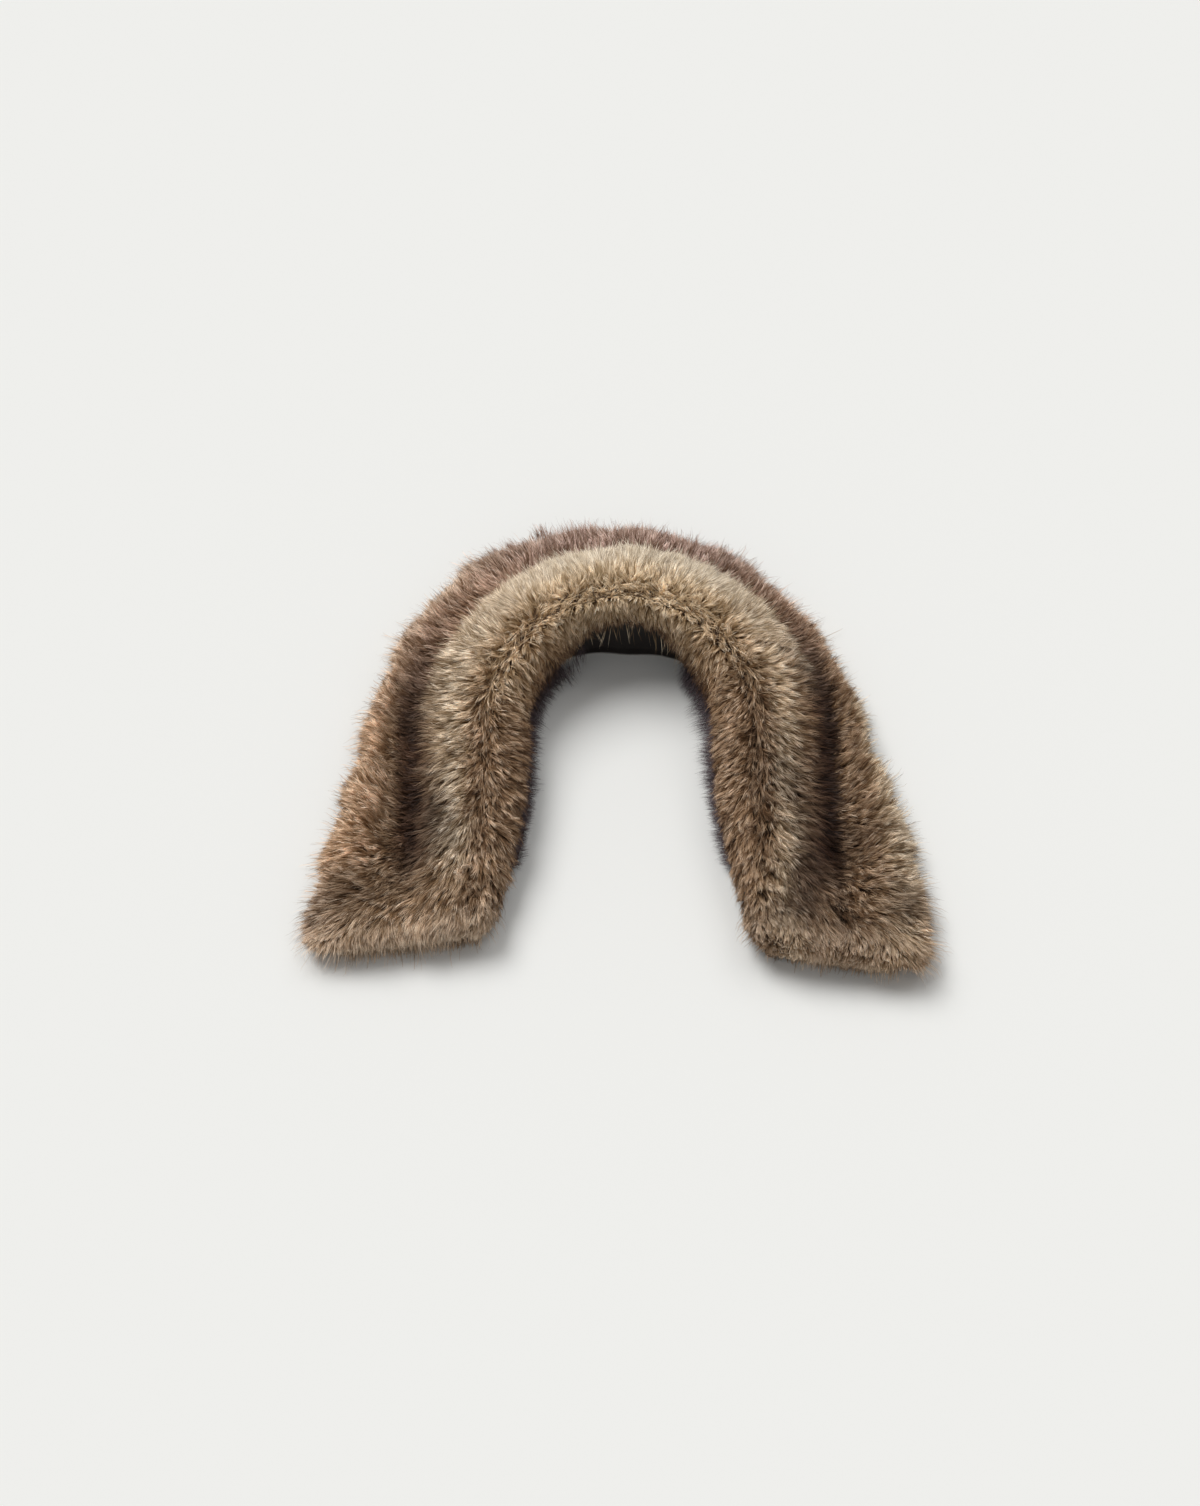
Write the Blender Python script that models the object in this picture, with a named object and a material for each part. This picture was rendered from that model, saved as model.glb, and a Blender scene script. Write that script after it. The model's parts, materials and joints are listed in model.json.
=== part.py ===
"""Fur collar wrap: a striped long-pile collar, folded along its roll line and lying on a flat surface.

The collar is a horseshoe, open towards -Y. Its spine is the crest, the line along the top of the roll where
the pile parts: an arch round the back of the neck, then an arm on each side. From the crest the fur falls
outwards over the roll, down into a valley, and over the flat flap. On the neck side it turns down over a
satin facing at the back, and over the thin edge of the stand along each arm.

Lengths in the tables are millimetres. The model itself is in metres, +Z up, and it rests on Z = 0.
"""

import math
from typing import NamedTuple

import bmesh
import bpy
import numpy as np

MM = 0.001

# Plan of the crest
ARCH_RADIUS = 102.0
SPLAY_START = 1.2  # the place, as in the sections' table, from which an arm's sections turn

# The rounded last stretch of each arm, whose tips hang free of the surface
CAP_TURN = 80.0  # degrees round which its top is turned
CAP_FALL = 0.35  # how round its top is: 1 is a quarter circle, less is blunter
CAP_LIFT = 9.0

# Cloth and seams
SEAM_GAP = 0.3
SATIN_THICKNESS = 1.6
HEM_HEIGHT = 5.0
HEM_EXTRA = 0.8  # how much thicker the turned-up hem is

# The pile
PARTING_DEPTH = 3.0
PARTING_WIDTH = 7.0
LOCK_SPACING = 46.0
LOCK_REACH = 4.5  # how far a lock's tip stands out of the edge behind it
RELIEF_HEIGHT = 1.5
RELIEF_SPACING = 24.0

# How finely the forms are cut
FUR_STEPS = 110
EDGE_STEPS = 30
FACING_STEPS = 22
CAP_STEPS = 4


class Section(NamedTuple):
    """The collar across its length at one place. Distances run from the crest, heights from the surface."""

    place: float  # 0 at the middle of the back, 1 where the arm starts, 2 where its rounded end starts
    foot_in: float  # neck side: the hidden wall behind the facing or the stand's edge
    lip_in: float  # neck side: the tips of the fur that turns down over it
    lip_z: float  # height of the room under those tips
    crest_z: float
    roll_out: float  # outer side of the roll, where the pale band ends
    roll_z: float
    valley_out: float
    valley_z: float
    flap_out: float
    flap_z: float
    reach_out: float  # the tips at the outer edge


class Arm(NamedTuple):
    """What differs between the two arms."""

    name: str
    side: int  # -1 towards -X, +1 towards +X
    length: float
    lean: float  # degrees by which it leans away from the middle
    splay: float  # degrees by which its cut end turns, so that the outer edge runs on further than the inner
    arch_reach: float  # the flap's extra width round the arch
    arch_place: float  # where that is in full
    arch_span: float  # how far to each side of there it fades out
    end_reach: float  # the flap's extra width at the end
    end_length: float  # the rounded last stretch
    end_draw: float  # how much that narrows
    pit_depth: float  # how much deeper the valley is near its lower end
    lock_shift: float  # where along the edge the first lock ends
    end_rise: float  # how much higher its end stands
    edge_in: float  # how much less far the stand's edge reaches


SECTIONS = (
    #        place foot_in lip_in lip_z crest_z roll_out roll_z valley_out valley_z flap_out flap_z reach_out
    Section(0.00, 7.6, 13.0, 46.0, 81.0, 47.0, 66.0, 64.0, 38.0, 79.0, 34.0, 99.0),
    Section(0.20, 3.5, 13.5, 36.0, 80.0, 46.0, 64.0, 63.0, 37.0, 79.0, 33.0, 97.0),
    Section(0.36, 3.0, 18.0, 20.0, 77.0, 45.0, 60.0, 62.0, 35.0, 78.0, 32.0, 94.0),
    Section(0.50, 12.0, 22.0, 14.0, 73.0, 43.0, 56.0, 61.0, 32.0, 78.0, 32.0, 91.0),
    Section(0.72, 20.0, 28.0, 13.0, 66.0, 40.0, 49.0, 59.0, 28.0, 78.0, 32.0, 92.0),
    Section(1.00, 26.0, 34.0, 13.0, 59.0, 37.0, 43.0, 57.0, 24.0, 79.0, 33.0, 97.0),
    Section(1.30, 26.0, 33.0, 13.0, 54.0, 36.0, 40.0, 56.0, 22.0, 82.0, 33.0, 108.0),
    Section(1.60, 20.0, 28.0, 12.0, 48.0, 36.0, 38.0, 56.0, 22.0, 87.0, 34.0, 119.0),
    Section(1.82, 15.0, 21.0, 7.0, 40.0, 36.0, 35.0, 57.0, 27.0, 91.0, 34.0, 126.0),
    Section(2.00, 9.0, 15.0, 5.0, 34.0, 36.0, 33.0, 60.0, 31.0, 95.0, 32.0, 131.0),
)

ARMS = (
    Arm("left", -1, 143.0, -2.0, 8.5, 10.0, 0.42, 0.42, 2.0, 21.0, 0.24, 2.0, 12.0, 0.0, 4.0),
    Arm("right", 1, 147.0, 4.0, 10.0, -10.0, 0.78, 0.70, -2.0, 34.0, 0.32, 8.0, 34.0, 6.0, 0.0),
)

# The stand's edge lies on the surface under the roll, along the inside of each arm.
EDGE_START = 0.50
EDGE_END = 1.70
EDGE_TIP_Z = 6.0
# How far its tips reach in from the crest: (place, reach)
EDGE_REACH = ((0.50, 26.0), (0.72, 35.0), (1.00, 41.5), (1.30, 40.5), (1.60, 35.0), (1.70, 33.0))

FACING_END = 0.40

FUR_COLOUR = (0.27, 0.18, 0.11)
STAND_COLOUR = (0.09, 0.05, 0.04)
SATIN_COLOUR = (0.008, 0.006, 0.006)


def smooth_curve(places, values, at):
    """The value at one place of a smooth curve through a table's rows."""
    slopes = np.gradient(values, places)
    row = int(np.clip(np.searchsorted(places, at) - 1, 0, len(places) - 2))
    width = places[row + 1] - places[row]
    u = (at - places[row]) / width
    start = (1 + 2 * u) * (1 - u) ** 2 * values[row] + u * (1 - u) ** 2 * width * slopes[row]
    end = u**2 * (3 - 2 * u) * values[row + 1] + u**2 * (u - 1) * width * slopes[row + 1]
    return start + end


def bump(at, middle, half_width):
    """1 at the middle, falling smoothly to 0 at half_width on each side."""
    away = min(abs(at - middle) / half_width, 1.0)
    return 0.5 + 0.5 * math.cos(math.pi * away)


def section_at(place, arm):
    """The section at a place between the table's rows, with what is the arm's own."""
    mirrored = [row._replace(place=-row.place) for row in reversed(SECTIONS[1:])]
    rows = np.array(mirrored + list(SECTIONS))
    values = [smooth_curve(rows[:, 0], rows[:, i], place) for i in range(1, rows.shape[1])]
    section = Section(place, *values)
    pit = arm.pit_depth * bump(place, 1.68, 0.3)
    flare = arm.end_reach * max(place - 1.0, 0.0) + arm.arch_reach * bump(place, arm.arch_place, arm.arch_span)
    rise = arm.end_rise * max(place - 1.5, 0.0) / 0.5
    return section._replace(
        crest_z=section.crest_z + rise,
        roll_z=section.roll_z + rise,
        valley_z=section.valley_z - pit + rise,
        flap_z=section.flap_z + rise,
        flap_out=section.flap_out + flare / 2,
        reach_out=section.reach_out + flare,
    )


def along_crest(place, arm):
    """The distance along the crest from the middle of the back, negative on the left."""
    arch = ARCH_RADIUS * math.radians(90.0 - arm.lean)
    return arm.side * (arch * min(place, 1.0) + arm.length * max(place - 1.0, 0.0))


def crest_frame(place, arm):
    """The crest's point in plan, the outward direction and the direction of the arm's end."""
    turn = math.radians(90.0 - arm.lean) * min(place, 1.0)
    outward = np.array([arm.side * math.sin(turn), math.cos(turn)])
    onward = np.array([arm.side * math.cos(turn), -math.sin(turn)])
    point = ARCH_RADIUS * outward + arm.length * max(place - 1.0, 0.0) * onward
    splay = math.radians(arm.splay) * max(place - SPLAY_START, 0.0) / (2.0 - SPLAY_START)
    across = outward * math.cos(splay) + onward * math.sin(splay)
    return point, across, onward


def lock_step(place, arm):
    """How far the edge stands out here. Each lock overlaps the next one, so the edge goes in steps."""
    turn = ((along_crest(place, arm) * arm.side + arm.lock_shift) / LOCK_SPACING) % 1.0
    rise = turn / 0.8 if turn < 0.8 else (1.0 - turn) / 0.2
    return LOCK_REACH * (rise * rise * (3 - 2 * rise) - 0.5)


def relief(place, arm, out):
    """The low waves of combed locks on top of the fur, running outwards and a little onwards."""
    wave = (along_crest(place, arm) * arm.side - 0.45 * out) / RELIEF_SPACING
    broken = math.sin(2 * math.pi * wave) + 0.6 * math.sin(2 * math.pi * (0.63 * wave + out / 55.0))
    return RELIEF_HEIGHT * 0.6 * broken


def spline(points, cuts):
    """A smooth line through points, with cuts more points between each two."""
    padded = [2 * points[0] - points[1], *points, 2 * points[-1] - points[-2]]
    line = []
    for before, start, end, after in zip(padded, padded[1:], padded[2:], padded[3:]):
        for cut in range(cuts + 1):
            u = cut / (cuts + 1)
            line.append(
                0.5 * (2 * start + (end - before) * u
                       + (2 * before - 5 * start + 4 * end - after) * u**2
                       + (3 * start - before - 3 * end + after) * u**3)
            )
    line.append(points[-1])
    return line


def fur_outline(place, arm):
    """The fur's closed outline at a place: the neck side, over the crest to the outer edge, and the flat base."""
    s = section_at(place, arm)
    lip_room = s.lip_in - s.foot_in
    edge = s.reach_out + lock_step(place, arm)
    shoulder_z = 0.5 * (s.crest_z + s.roll_z) + 5.0
    slope_z = 0.5 * (s.roll_z + s.valley_z)
    room = [
        np.array([-s.foot_in, 0.0]),
        np.array([-s.foot_in, s.lip_z]),
        np.array([-s.foot_in - 0.55 * lip_room, s.lip_z]),
    ]
    over = spline(
        [
            np.array([-s.lip_in, s.lip_z + 6.0]),
            np.array([-0.92 * s.lip_in - 2.0, s.lip_z + 0.45 * (s.crest_z - s.lip_z)]),
            np.array([-0.5 * s.lip_in - 5.0, s.crest_z - 7.0]),
            np.array([-PARTING_WIDTH / 2, s.crest_z]),
            np.array([0.0, s.crest_z - PARTING_DEPTH]),
            np.array([PARTING_WIDTH / 2, s.crest_z]),
            np.array([0.55 * s.roll_out, shoulder_z]),
            np.array([s.roll_out, s.roll_z]),
            np.array([0.5 * (s.roll_out + s.valley_out) + 3.0, slope_z]),
            np.array([s.valley_out, s.valley_z]),
            np.array([s.flap_out, s.flap_z]),
            np.array([0.45 * s.flap_out + 0.55 * edge, 0.86 * s.flap_z]),
            np.array([edge - 2.0, 0.5 * s.flap_z]),
            np.array([edge, 0.25 * s.flap_z]),
        ],
        1,
    )
    for point in over:
        inland = min(max((edge - point[0]) / 25.0, 0.0), 1.0) * min(max((point[0] + s.lip_in) / 10.0, 0.0), 1.0)
        point[1] += inland * relief(place, arm, point[0])
    foot = np.array([edge - 5.0, 0.0])
    base = [foot + (room[0] - foot) * part for part in (0.0, 0.2, 0.4, 0.6, 0.8)]
    return room + over + base


def placed(outline, place, arm, onward_by=0.0):
    """An outline's points in space."""
    point, outward, onward = crest_frame(place, arm)
    start = point + onward * onward_by
    return [(*(start + outward * out), height) for out, height in outline]


def cap_rings(arm):
    """The outlines that round off an arm's end, from its last section outwards."""
    last = fur_outline(2.0, arm)
    middle = 0.5 * (min(p[0] for p in last) + max(p[0] for p in last))
    tallest = max(p[1] for p in last)
    rings = []
    for step in range(1, CAP_STEPS + 1):
        turn = math.radians(CAP_TURN) * step / CAP_STEPS
        narrowed = 1.0 - arm.end_draw * (1.0 - math.cos(turn))
        lift = CAP_LIFT * (1.0 - math.cos(turn))
        share = math.cos(turn) ** CAP_FALL - lift / tallest
        outline = [(middle + (out - middle) * narrowed, lift + height * share) for out, height in last]
        rings.append(placed(outline, 2.0, arm, arm.end_length * math.sin(turn)))
    return rings


def loft(name, rings):
    """A closed solid through rings that have the same number of points."""
    shape = bmesh.new()
    rows = [[shape.verts.new([value * MM for value in point]) for point in ring] for ring in rings]
    count = len(rows[0])
    for row, after in zip(rows, rows[1:]):
        for i in range(count):
            j = (i + 1) % count
            shape.faces.new((row[i], row[j], after[j], after[i]))
    shape.faces.new(rows[0])
    shape.faces.new(rows[-1])
    bmesh.ops.recalc_face_normals(shape, faces=shape.faces)
    mesh = bpy.data.meshes.new(name)
    shape.to_mesh(mesh)
    shape.free()
    mesh.shade_smooth()
    mesh.set_sharp_from_angle(angle=math.radians(50.0))
    return bpy.data.objects.new(name, mesh)


def make_fur():
    """The fur: roll, fall and flap in one piece, from the left arm's end round the neck to the right one's."""
    left, right = ARMS
    rings = list(reversed(cap_rings(left)))
    for step in range(FUR_STEPS + 1):
        place = -2.0 + 4.0 * step / FUR_STEPS
        arm = left if place < 0 else right
        rings.append(placed(fur_outline(abs(place), arm), abs(place), arm))
    rings += cap_rings(right)
    return loft("fur_collar", rings)


def make_stand_edge(arm):
    """The thin fur edge of the stand, under the roll along the inside of one arm."""
    reach_rows = np.array(EDGE_REACH)
    rings = []
    for step in range(EDGE_STEPS + 1):
        place = EDGE_START + (EDGE_END - EDGE_START) * step / EDGE_STEPS
        s = section_at(place, arm)
        wall = s.foot_in + SEAM_GAP
        top = s.lip_z - SEAM_GAP
        wave = 1.6 * math.sin(along_crest(place, arm) / 6.5)
        tips = smooth_curve(reach_rows[:, 0], reach_rows[:, 1], place) + wave - arm.edge_in
        outline = [
            (-wall, 0.0),
            (-wall, top),
            (-0.5 * (wall + s.lip_in), top),
            (-s.lip_in - 1.0, top - 0.8),
            (-0.45 * s.lip_in - 0.55 * tips, 0.5 * (top + EDGE_TIP_Z)),
            (-tips + 1.0, EDGE_TIP_Z),
            (-tips, 0.5 * EDGE_TIP_Z),
            (-tips + 2.5, 0.0),
            (-0.5 * (tips + wall), 0.0),
        ]
        rings.append(placed(outline, place, arm))
    return loft(f"stand_edge_{arm.name}", rings)


def make_facing():
    """The satin facing inside the back of the neck, with a turned-up hem along its lower edge."""
    left, right = ARMS
    rings = []
    for step in range(FACING_STEPS + 1):
        place = FACING_END * (2.0 * step / FACING_STEPS - 1.0)
        arm = left if place < 0 else right
        s = section_at(abs(place), arm)
        back = -(s.foot_in + SEAM_GAP)
        front = back - SATIN_THICKNESS
        hem = front - HEM_EXTRA
        top = s.lip_z - SEAM_GAP
        outline = [
            (back, 0.0),
            (back, 0.5 * top),
            (back, top),
            (front, top),
            (front, 0.5 * top),
            (front, HEM_HEIGHT + 1.0),
            (hem, HEM_HEIGHT),
            (hem, 0.0),
        ]
        rings.append(placed(outline, abs(place), arm))
    return loft("neck_facing", rings)


def finish(name, colour, roughness):
    """A plain material."""
    material = bpy.data.materials.new(name)
    material.use_nodes = True
    shader = material.node_tree.nodes["Principled BSDF"]
    shader.inputs["Base Color"].default_value = (*colour, 1.0)
    shader.inputs["Roughness"].default_value = roughness
    shader.inputs["Metallic"].default_value = 0.0
    return material


def centre_on_footprint(objects):
    """Move every mesh so that the middle of the whole collar's box lies over the origin."""
    corners = np.array([vertex.co for item in objects for vertex in item.data.vertices])
    middle = 0.5 * (corners.min(axis=0) + corners.max(axis=0))
    for item in objects:
        for vertex in item.data.vertices:
            vertex.co.x -= middle[0]
            vertex.co.y -= middle[1]


def build():
    """Make the collar's pieces in their own collection."""
    for item in list(bpy.data.objects):
        bpy.data.objects.remove(item)
    collection = bpy.data.collections.new("fur_collar_wrap")
    bpy.context.scene.collection.children.link(collection)
    fur = make_fur()
    fur.data.materials.append(finish("faux_fur", FUR_COLOUR, 0.85))
    edges = [make_stand_edge(arm) for arm in ARMS]
    stand_fur = finish("stand_fur", STAND_COLOUR, 0.9)
    for edge in edges:
        edge.data.materials.append(stand_fur)
    facing = make_facing()
    facing.data.materials.append(finish("black_satin", SATIN_COLOUR, 0.35))
    pieces = [fur, *edges, facing]
    centre_on_footprint(pieces)
    for piece in pieces:
        collection.objects.link(piece)


build()
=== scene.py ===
"""Fur collar wrap, dressed: the looks of a striped long-pile collar that lies folded on a pale floor.

The pelt is a knitted backing with its pile. Each strand of the pile starts on the backing and ends on the
collar's outer form, which is worked out here from the same named sizes as the solids. The neck side has a
black satin facing and, along each arm, the thin dark edge of the stand, whose dark pile is partly painted
shade. Lengths in the tables are millimetres, and the scene is in metres.
"""

import json
import logging
import math
from dataclasses import dataclass, fields, replace
from enum import Enum
from typing import Callable, ClassVar, NamedTuple, Optional, Sequence

import bmesh
import bpy
import numpy as np
from bpy.types import ID, Material, Mesh, Node, NodeSocket, NodeTree, Object
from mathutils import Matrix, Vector

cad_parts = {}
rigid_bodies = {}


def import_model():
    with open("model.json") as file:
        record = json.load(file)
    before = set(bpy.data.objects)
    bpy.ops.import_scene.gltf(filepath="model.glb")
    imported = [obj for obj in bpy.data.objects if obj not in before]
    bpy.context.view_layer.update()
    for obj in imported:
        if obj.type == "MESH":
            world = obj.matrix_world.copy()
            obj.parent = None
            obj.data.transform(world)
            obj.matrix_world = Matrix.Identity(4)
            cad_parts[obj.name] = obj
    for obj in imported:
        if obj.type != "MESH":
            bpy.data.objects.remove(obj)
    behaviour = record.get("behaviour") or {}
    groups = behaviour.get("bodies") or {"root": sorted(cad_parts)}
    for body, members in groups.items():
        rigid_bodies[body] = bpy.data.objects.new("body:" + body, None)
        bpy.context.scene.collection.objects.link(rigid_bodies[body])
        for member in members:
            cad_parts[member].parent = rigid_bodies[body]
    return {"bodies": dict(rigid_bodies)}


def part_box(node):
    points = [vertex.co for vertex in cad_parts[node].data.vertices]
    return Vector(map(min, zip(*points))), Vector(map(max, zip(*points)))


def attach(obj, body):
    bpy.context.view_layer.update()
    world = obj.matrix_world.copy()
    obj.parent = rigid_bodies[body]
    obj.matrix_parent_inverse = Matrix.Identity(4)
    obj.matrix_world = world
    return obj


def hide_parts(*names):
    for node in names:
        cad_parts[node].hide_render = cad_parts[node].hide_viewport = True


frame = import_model()
log = logging.getLogger("fur_collar_wrap")

MM = 0.001
BODY = sorted(frame["bodies"])[0]
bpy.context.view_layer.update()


# ---------------------------------------------------------------- colours and nodes


class Hue(Enum):
    """The collar's colours, as sRGB hex values."""

    CREAM = "EADBC4"
    SAND = "E3CDB0"
    TAN = "D4B793"
    WARM_TAN = "DAB18A"
    WARM_BROWN = "C8A47F"
    ROSE_TAN = "D2B296"
    PALE_TAN = "EED6BC"
    PALE_TIP = "E2D5BE"
    GOLD_BROWN = "B58D63"
    GOLD_TAN = "DABA92"
    PALE_GOLD = "F0D6B0"
    BROWN = "AB8866"
    DEEP_BROWN = "876647"
    UMBER = "5A3B25"
    BARK = "3A2316"
    MAUVE = "AB8A7B"
    ROSE_BROWN = "BD977C"
    PLUM = "5A3D3A"
    DARK_MAUVE = "3B2D2D"
    FRINGE_TIP = "75686C"
    SATIN_BLACK = "0A0706"
    SATIN_BROWN = "22160F"
    HEM_GREY = "A3A09C"
    KNIT_BROWN = "3E2E22"
    KNIT_LIGHT = "5A4433"
    FLOOR = "F1F1EE"
    FLOOR_SHADE = "EFEFEC"


def linear(hue: Hue) -> tuple[float, float, float, float]:
    """Turn an sRGB hex value to linear light.

    Args:
        hue: The colour.

    Returns:
        Red, green, blue and an alpha of 1.
    """
    parts = [int(hue.value[i : i + 2], 16) / 255.0 for i in (0, 2, 4)]
    light = [part / 12.92 if part <= 0.04045 else ((part + 0.055) / 1.055) ** 2.4 for part in parts]
    return (light[0], light[1], light[2], 1.0)


def socket_of(sockets: Sequence[NodeSocket], key: str | int) -> NodeSocket:
    """The socket in use that has this name or number."""
    if isinstance(key, int):
        return sockets[key]
    return next(socket for socket in sockets if socket.name == key and socket.enabled)


class Term:
    """A value that a node gives out, so that sums of such values are written as sums."""

    def __init__(self, socket: NodeSocket) -> None:
        """Take a socket's value."""
        self.socket = socket
        self.tree = socket.id_data
        self.is_vector = socket.type in ("VECTOR", "RGBA")

    def __add__(self, other: object) -> "Term":
        """This value and another."""
        return worked("ADD", self, other)

    def __sub__(self, other: object) -> "Term":
        """This value less another."""
        return worked("SUBTRACT", self, other)

    def __rsub__(self, other: float) -> "Term":
        """A number less this value."""
        return worked("SUBTRACT", other, self)

    def __mul__(self, factor: object) -> "Term":
        """This number or vector times a number."""
        return worked("SCALE" if self.is_vector else "MULTIPLY", self, factor)

    def __rtruediv__(self, other: float) -> "Term":
        """A number divided by this value."""
        return worked("DIVIDE", other, self)

    def scaled(self, factor: object, start: object) -> "Term":
        """This number times a factor, plus a start."""
        return worked("MULTIPLY_ADD", self, factor, start)

    def between(
        self, start: float, end: float, first: object = 0.0, last: object = 1.0, smooth: bool = False
    ) -> "Term":
        """A number that goes from one value to another while this one goes from a start to an end.

        Args:
            start: Where the change starts.
            end: Where it ends.
            first: The value before it.
            last: The value after it.
            smooth: Whether the change eases in and out.

        Returns:
            The number.
        """
        inputs = {"Value": self, "From Min": start, "From Max": end, "To Min": first, "To Max": last}
        easing = "SMOOTHSTEP" if smooth else "LINEAR"
        return out(add(self.tree, "ShaderNodeMapRange", inputs, interpolation_type=easing))


def add(tree: NodeTree, kind: str, inputs: Optional[dict] = None, **settings: object) -> Node:
    """Add a node with its settings and links.

    Args:
        tree: The node tree.
        kind: The node's type.
        inputs: For each input, by name or number, a value or the term that feeds it.
        settings: The node's own properties.

    Returns:
        The node.
    """
    node = tree.nodes.new(kind)
    for name, value in settings.items():
        setattr(node, name, value)
    for key, value in (inputs or {}).items():
        socket = socket_of(node.inputs, key)
        if isinstance(value, Term):
            tree.links.new(value.socket, socket)
        else:
            socket.default_value = value
    return node


def out(node: Node, key: str | int = 0) -> Term:
    """One output of a node."""
    return Term(socket_of(node.outputs, key))


def only_out(node: Node) -> Term:
    """The output in use of a node whose settings leave it one."""
    return Term(next(socket for socket in node.outputs if socket.enabled))


def worked(operation: str, *values: object) -> Term:
    """Work out a sum of numbers or of vectors.

    Args:
        operation: The kind of sum.
        values: What it takes, in order. At least one is a term.

    Returns:
        The result.
    """
    terms = [value for value in values if isinstance(value, Term)]
    kind = "ShaderNodeVectorMath" if any(term.is_vector for term in terms) else "ShaderNodeMath"
    inputs = {0: values[0], "Scale": values[1]} if operation == "SCALE" else dict(enumerate(values))
    return only_out(add(terms[0].tree, kind, inputs, operation=operation))


def mixed(share: object, first: object, second: object, blend: str = "MIX") -> Term:
    """Two colours, mixed by a share. At least one of the three is a term."""
    tree = next(value.tree for value in (share, first, second) if isinstance(value, Term))
    inputs = {"Factor": share, "A": first, "B": second}
    settings = {"data_type": "RGBA", "blend_type": blend, "clamp_factor": True}
    return only_out(add(tree, "ShaderNodeMix", inputs, **settings))


def striped(place: Term, stripes: Sequence[tuple[float, Hue]]) -> Term:
    """Stripes of colour along a scale.

    Args:
        place: The place on the scale.
        stripes: Where each colour lies on the scale, from its start to its end.

    Returns:
        The colour.
    """
    low, high = stripes[0][0], stripes[-1][0]
    node = add(place.tree, "ShaderNodeValToRGB", {"Fac": place.between(low, high)})
    elements = node.color_ramp.elements
    while len(elements) < len(stripes):
        elements.new(0.5)
    for element, (at, hue) in zip(elements, stripes):
        element.position = (at - low) / (high - low)
        element.color = linear(hue)
    return out(node, "Color")


# ---------------------------------------------------------------- the collar's form


class Section(NamedTuple):
    """The collar across its length at one place. Distances run from the crest, heights from the surface."""

    place: float
    foot_in: float
    lip_in: float
    lip_z: float
    crest_z: float
    roll_out: float
    roll_z: float
    valley_out: float
    valley_z: float
    flap_out: float
    flap_z: float
    reach_out: float


class Arm(NamedTuple):
    """What differs between the two arms. Reaches are how much farther out the outer edge lies there."""

    name: str
    side: int
    length: float
    lean: float  # how far the arm turns from straight on, in degrees
    splay: float  # how far its end's rows turn, in degrees
    arch_reach: float
    arch_place: float
    arch_span: float
    end_reach: float
    end_length: float
    end_draw: float  # the share by which the end narrows
    pit_depth: float  # how much deeper the valley is near the end
    lock_shift: float  # where the edge's steps start
    end_rise: float  # how much higher the end lies
    edge_in: float  # how much less the stand's edge shows
    edge_start: float  # where the stand's edge starts
    edge_tuck: float  # where it starts to go under the lip


SECTIONS = (
    #        place foot_in lip_in lip_z crest_z roll_out roll_z valley_out valley_z flap_out flap_z reach_out
    Section(0.00, 7.6, 13.0, 46.0, 81.0, 47.0, 66.0, 64.0, 38.0, 79.0, 34.0, 99.0),
    Section(0.20, 3.5, 13.5, 36.0, 80.0, 46.0, 64.0, 63.0, 37.0, 79.0, 33.0, 97.0),
    Section(0.36, 3.0, 18.0, 20.0, 77.0, 45.0, 60.0, 62.0, 35.0, 78.0, 32.0, 94.0),
    Section(0.50, 12.0, 22.0, 14.0, 73.0, 43.0, 56.0, 61.0, 32.0, 78.0, 32.0, 91.0),
    Section(0.72, 20.0, 28.0, 13.0, 66.0, 40.0, 49.0, 59.0, 28.0, 78.0, 32.0, 92.0),
    Section(1.00, 26.0, 34.0, 13.0, 59.0, 37.0, 43.0, 57.0, 24.0, 79.0, 33.0, 97.0),
    Section(1.30, 26.0, 33.0, 13.0, 54.0, 36.0, 40.0, 56.0, 22.0, 82.0, 33.0, 108.0),
    Section(1.60, 20.0, 28.0, 12.0, 48.0, 36.0, 38.0, 56.0, 22.0, 87.0, 34.0, 119.0),
    Section(1.82, 15.0, 21.0, 7.0, 40.0, 36.0, 35.0, 57.0, 27.0, 91.0, 34.0, 126.0),
    Section(2.00, 9.0, 15.0, 5.0, 34.0, 36.0, 33.0, 60.0, 31.0, 95.0, 32.0, 131.0),
)

ARMS = (
    Arm("left", -1, 143.0, -2.0, 8.5, 10.0, 0.42, 0.42, 2.0, 21.0, 0.24, 2.0, 12.0, 0.0, 4.0, 0.38, 1.69),
    Arm("right", 1, 147.0, 4.0, 10.0, -10.0, 0.78, 0.70, -2.0, 34.0, 0.32, 8.0, 34.0, 6.0, 0.0, 0.36, 1.00),
)
LEFT, RIGHT = ARMS


class Feature(float, Enum):
    """Where the collar's lines lie on the scale that runs across it."""

    LIP = -1.0
    CREST = 0.0
    ROLL = 1.0
    VALLEY = 2.0
    FLAP = 3.0
    EDGE = 4.0


class Comb(NamedTuple):
    """How the pile is combed at one place: degrees from straight outwards (or inwards) to the arm's end."""

    place: float
    lip: float
    crest: float
    roll: float
    valley: float
    flap: float
    edge: float


COMBING = (
    #    place  lip crest roll valley flap edge
    Comb(0.00, 0.0, 0.0, 0.0, 0.0, 0.0, 0.0),
    Comb(0.50, 15.0, 10.0, 0.0, 0.0, 0.0, 0.0),
    Comb(1.00, 25.0, 22.0, -4.0, -8.0, -20.0, -15.0),
    Comb(1.30, 35.0, 45.0, 14.0, -12.0, -34.0, -28.0),
    Comb(1.60, 45.0, 60.0, 35.0, 12.0, -8.0, -5.0),
    Comb(1.85, 62.0, 72.0, 62.0, 45.0, 18.0, 12.0),
    Comb(2.00, 75.0, 80.0, 76.0, 74.0, 58.0, 35.0),
    Comb(2.10, 84.0, 87.0, 86.0, 85.0, 74.0, 46.0),
)


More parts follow.
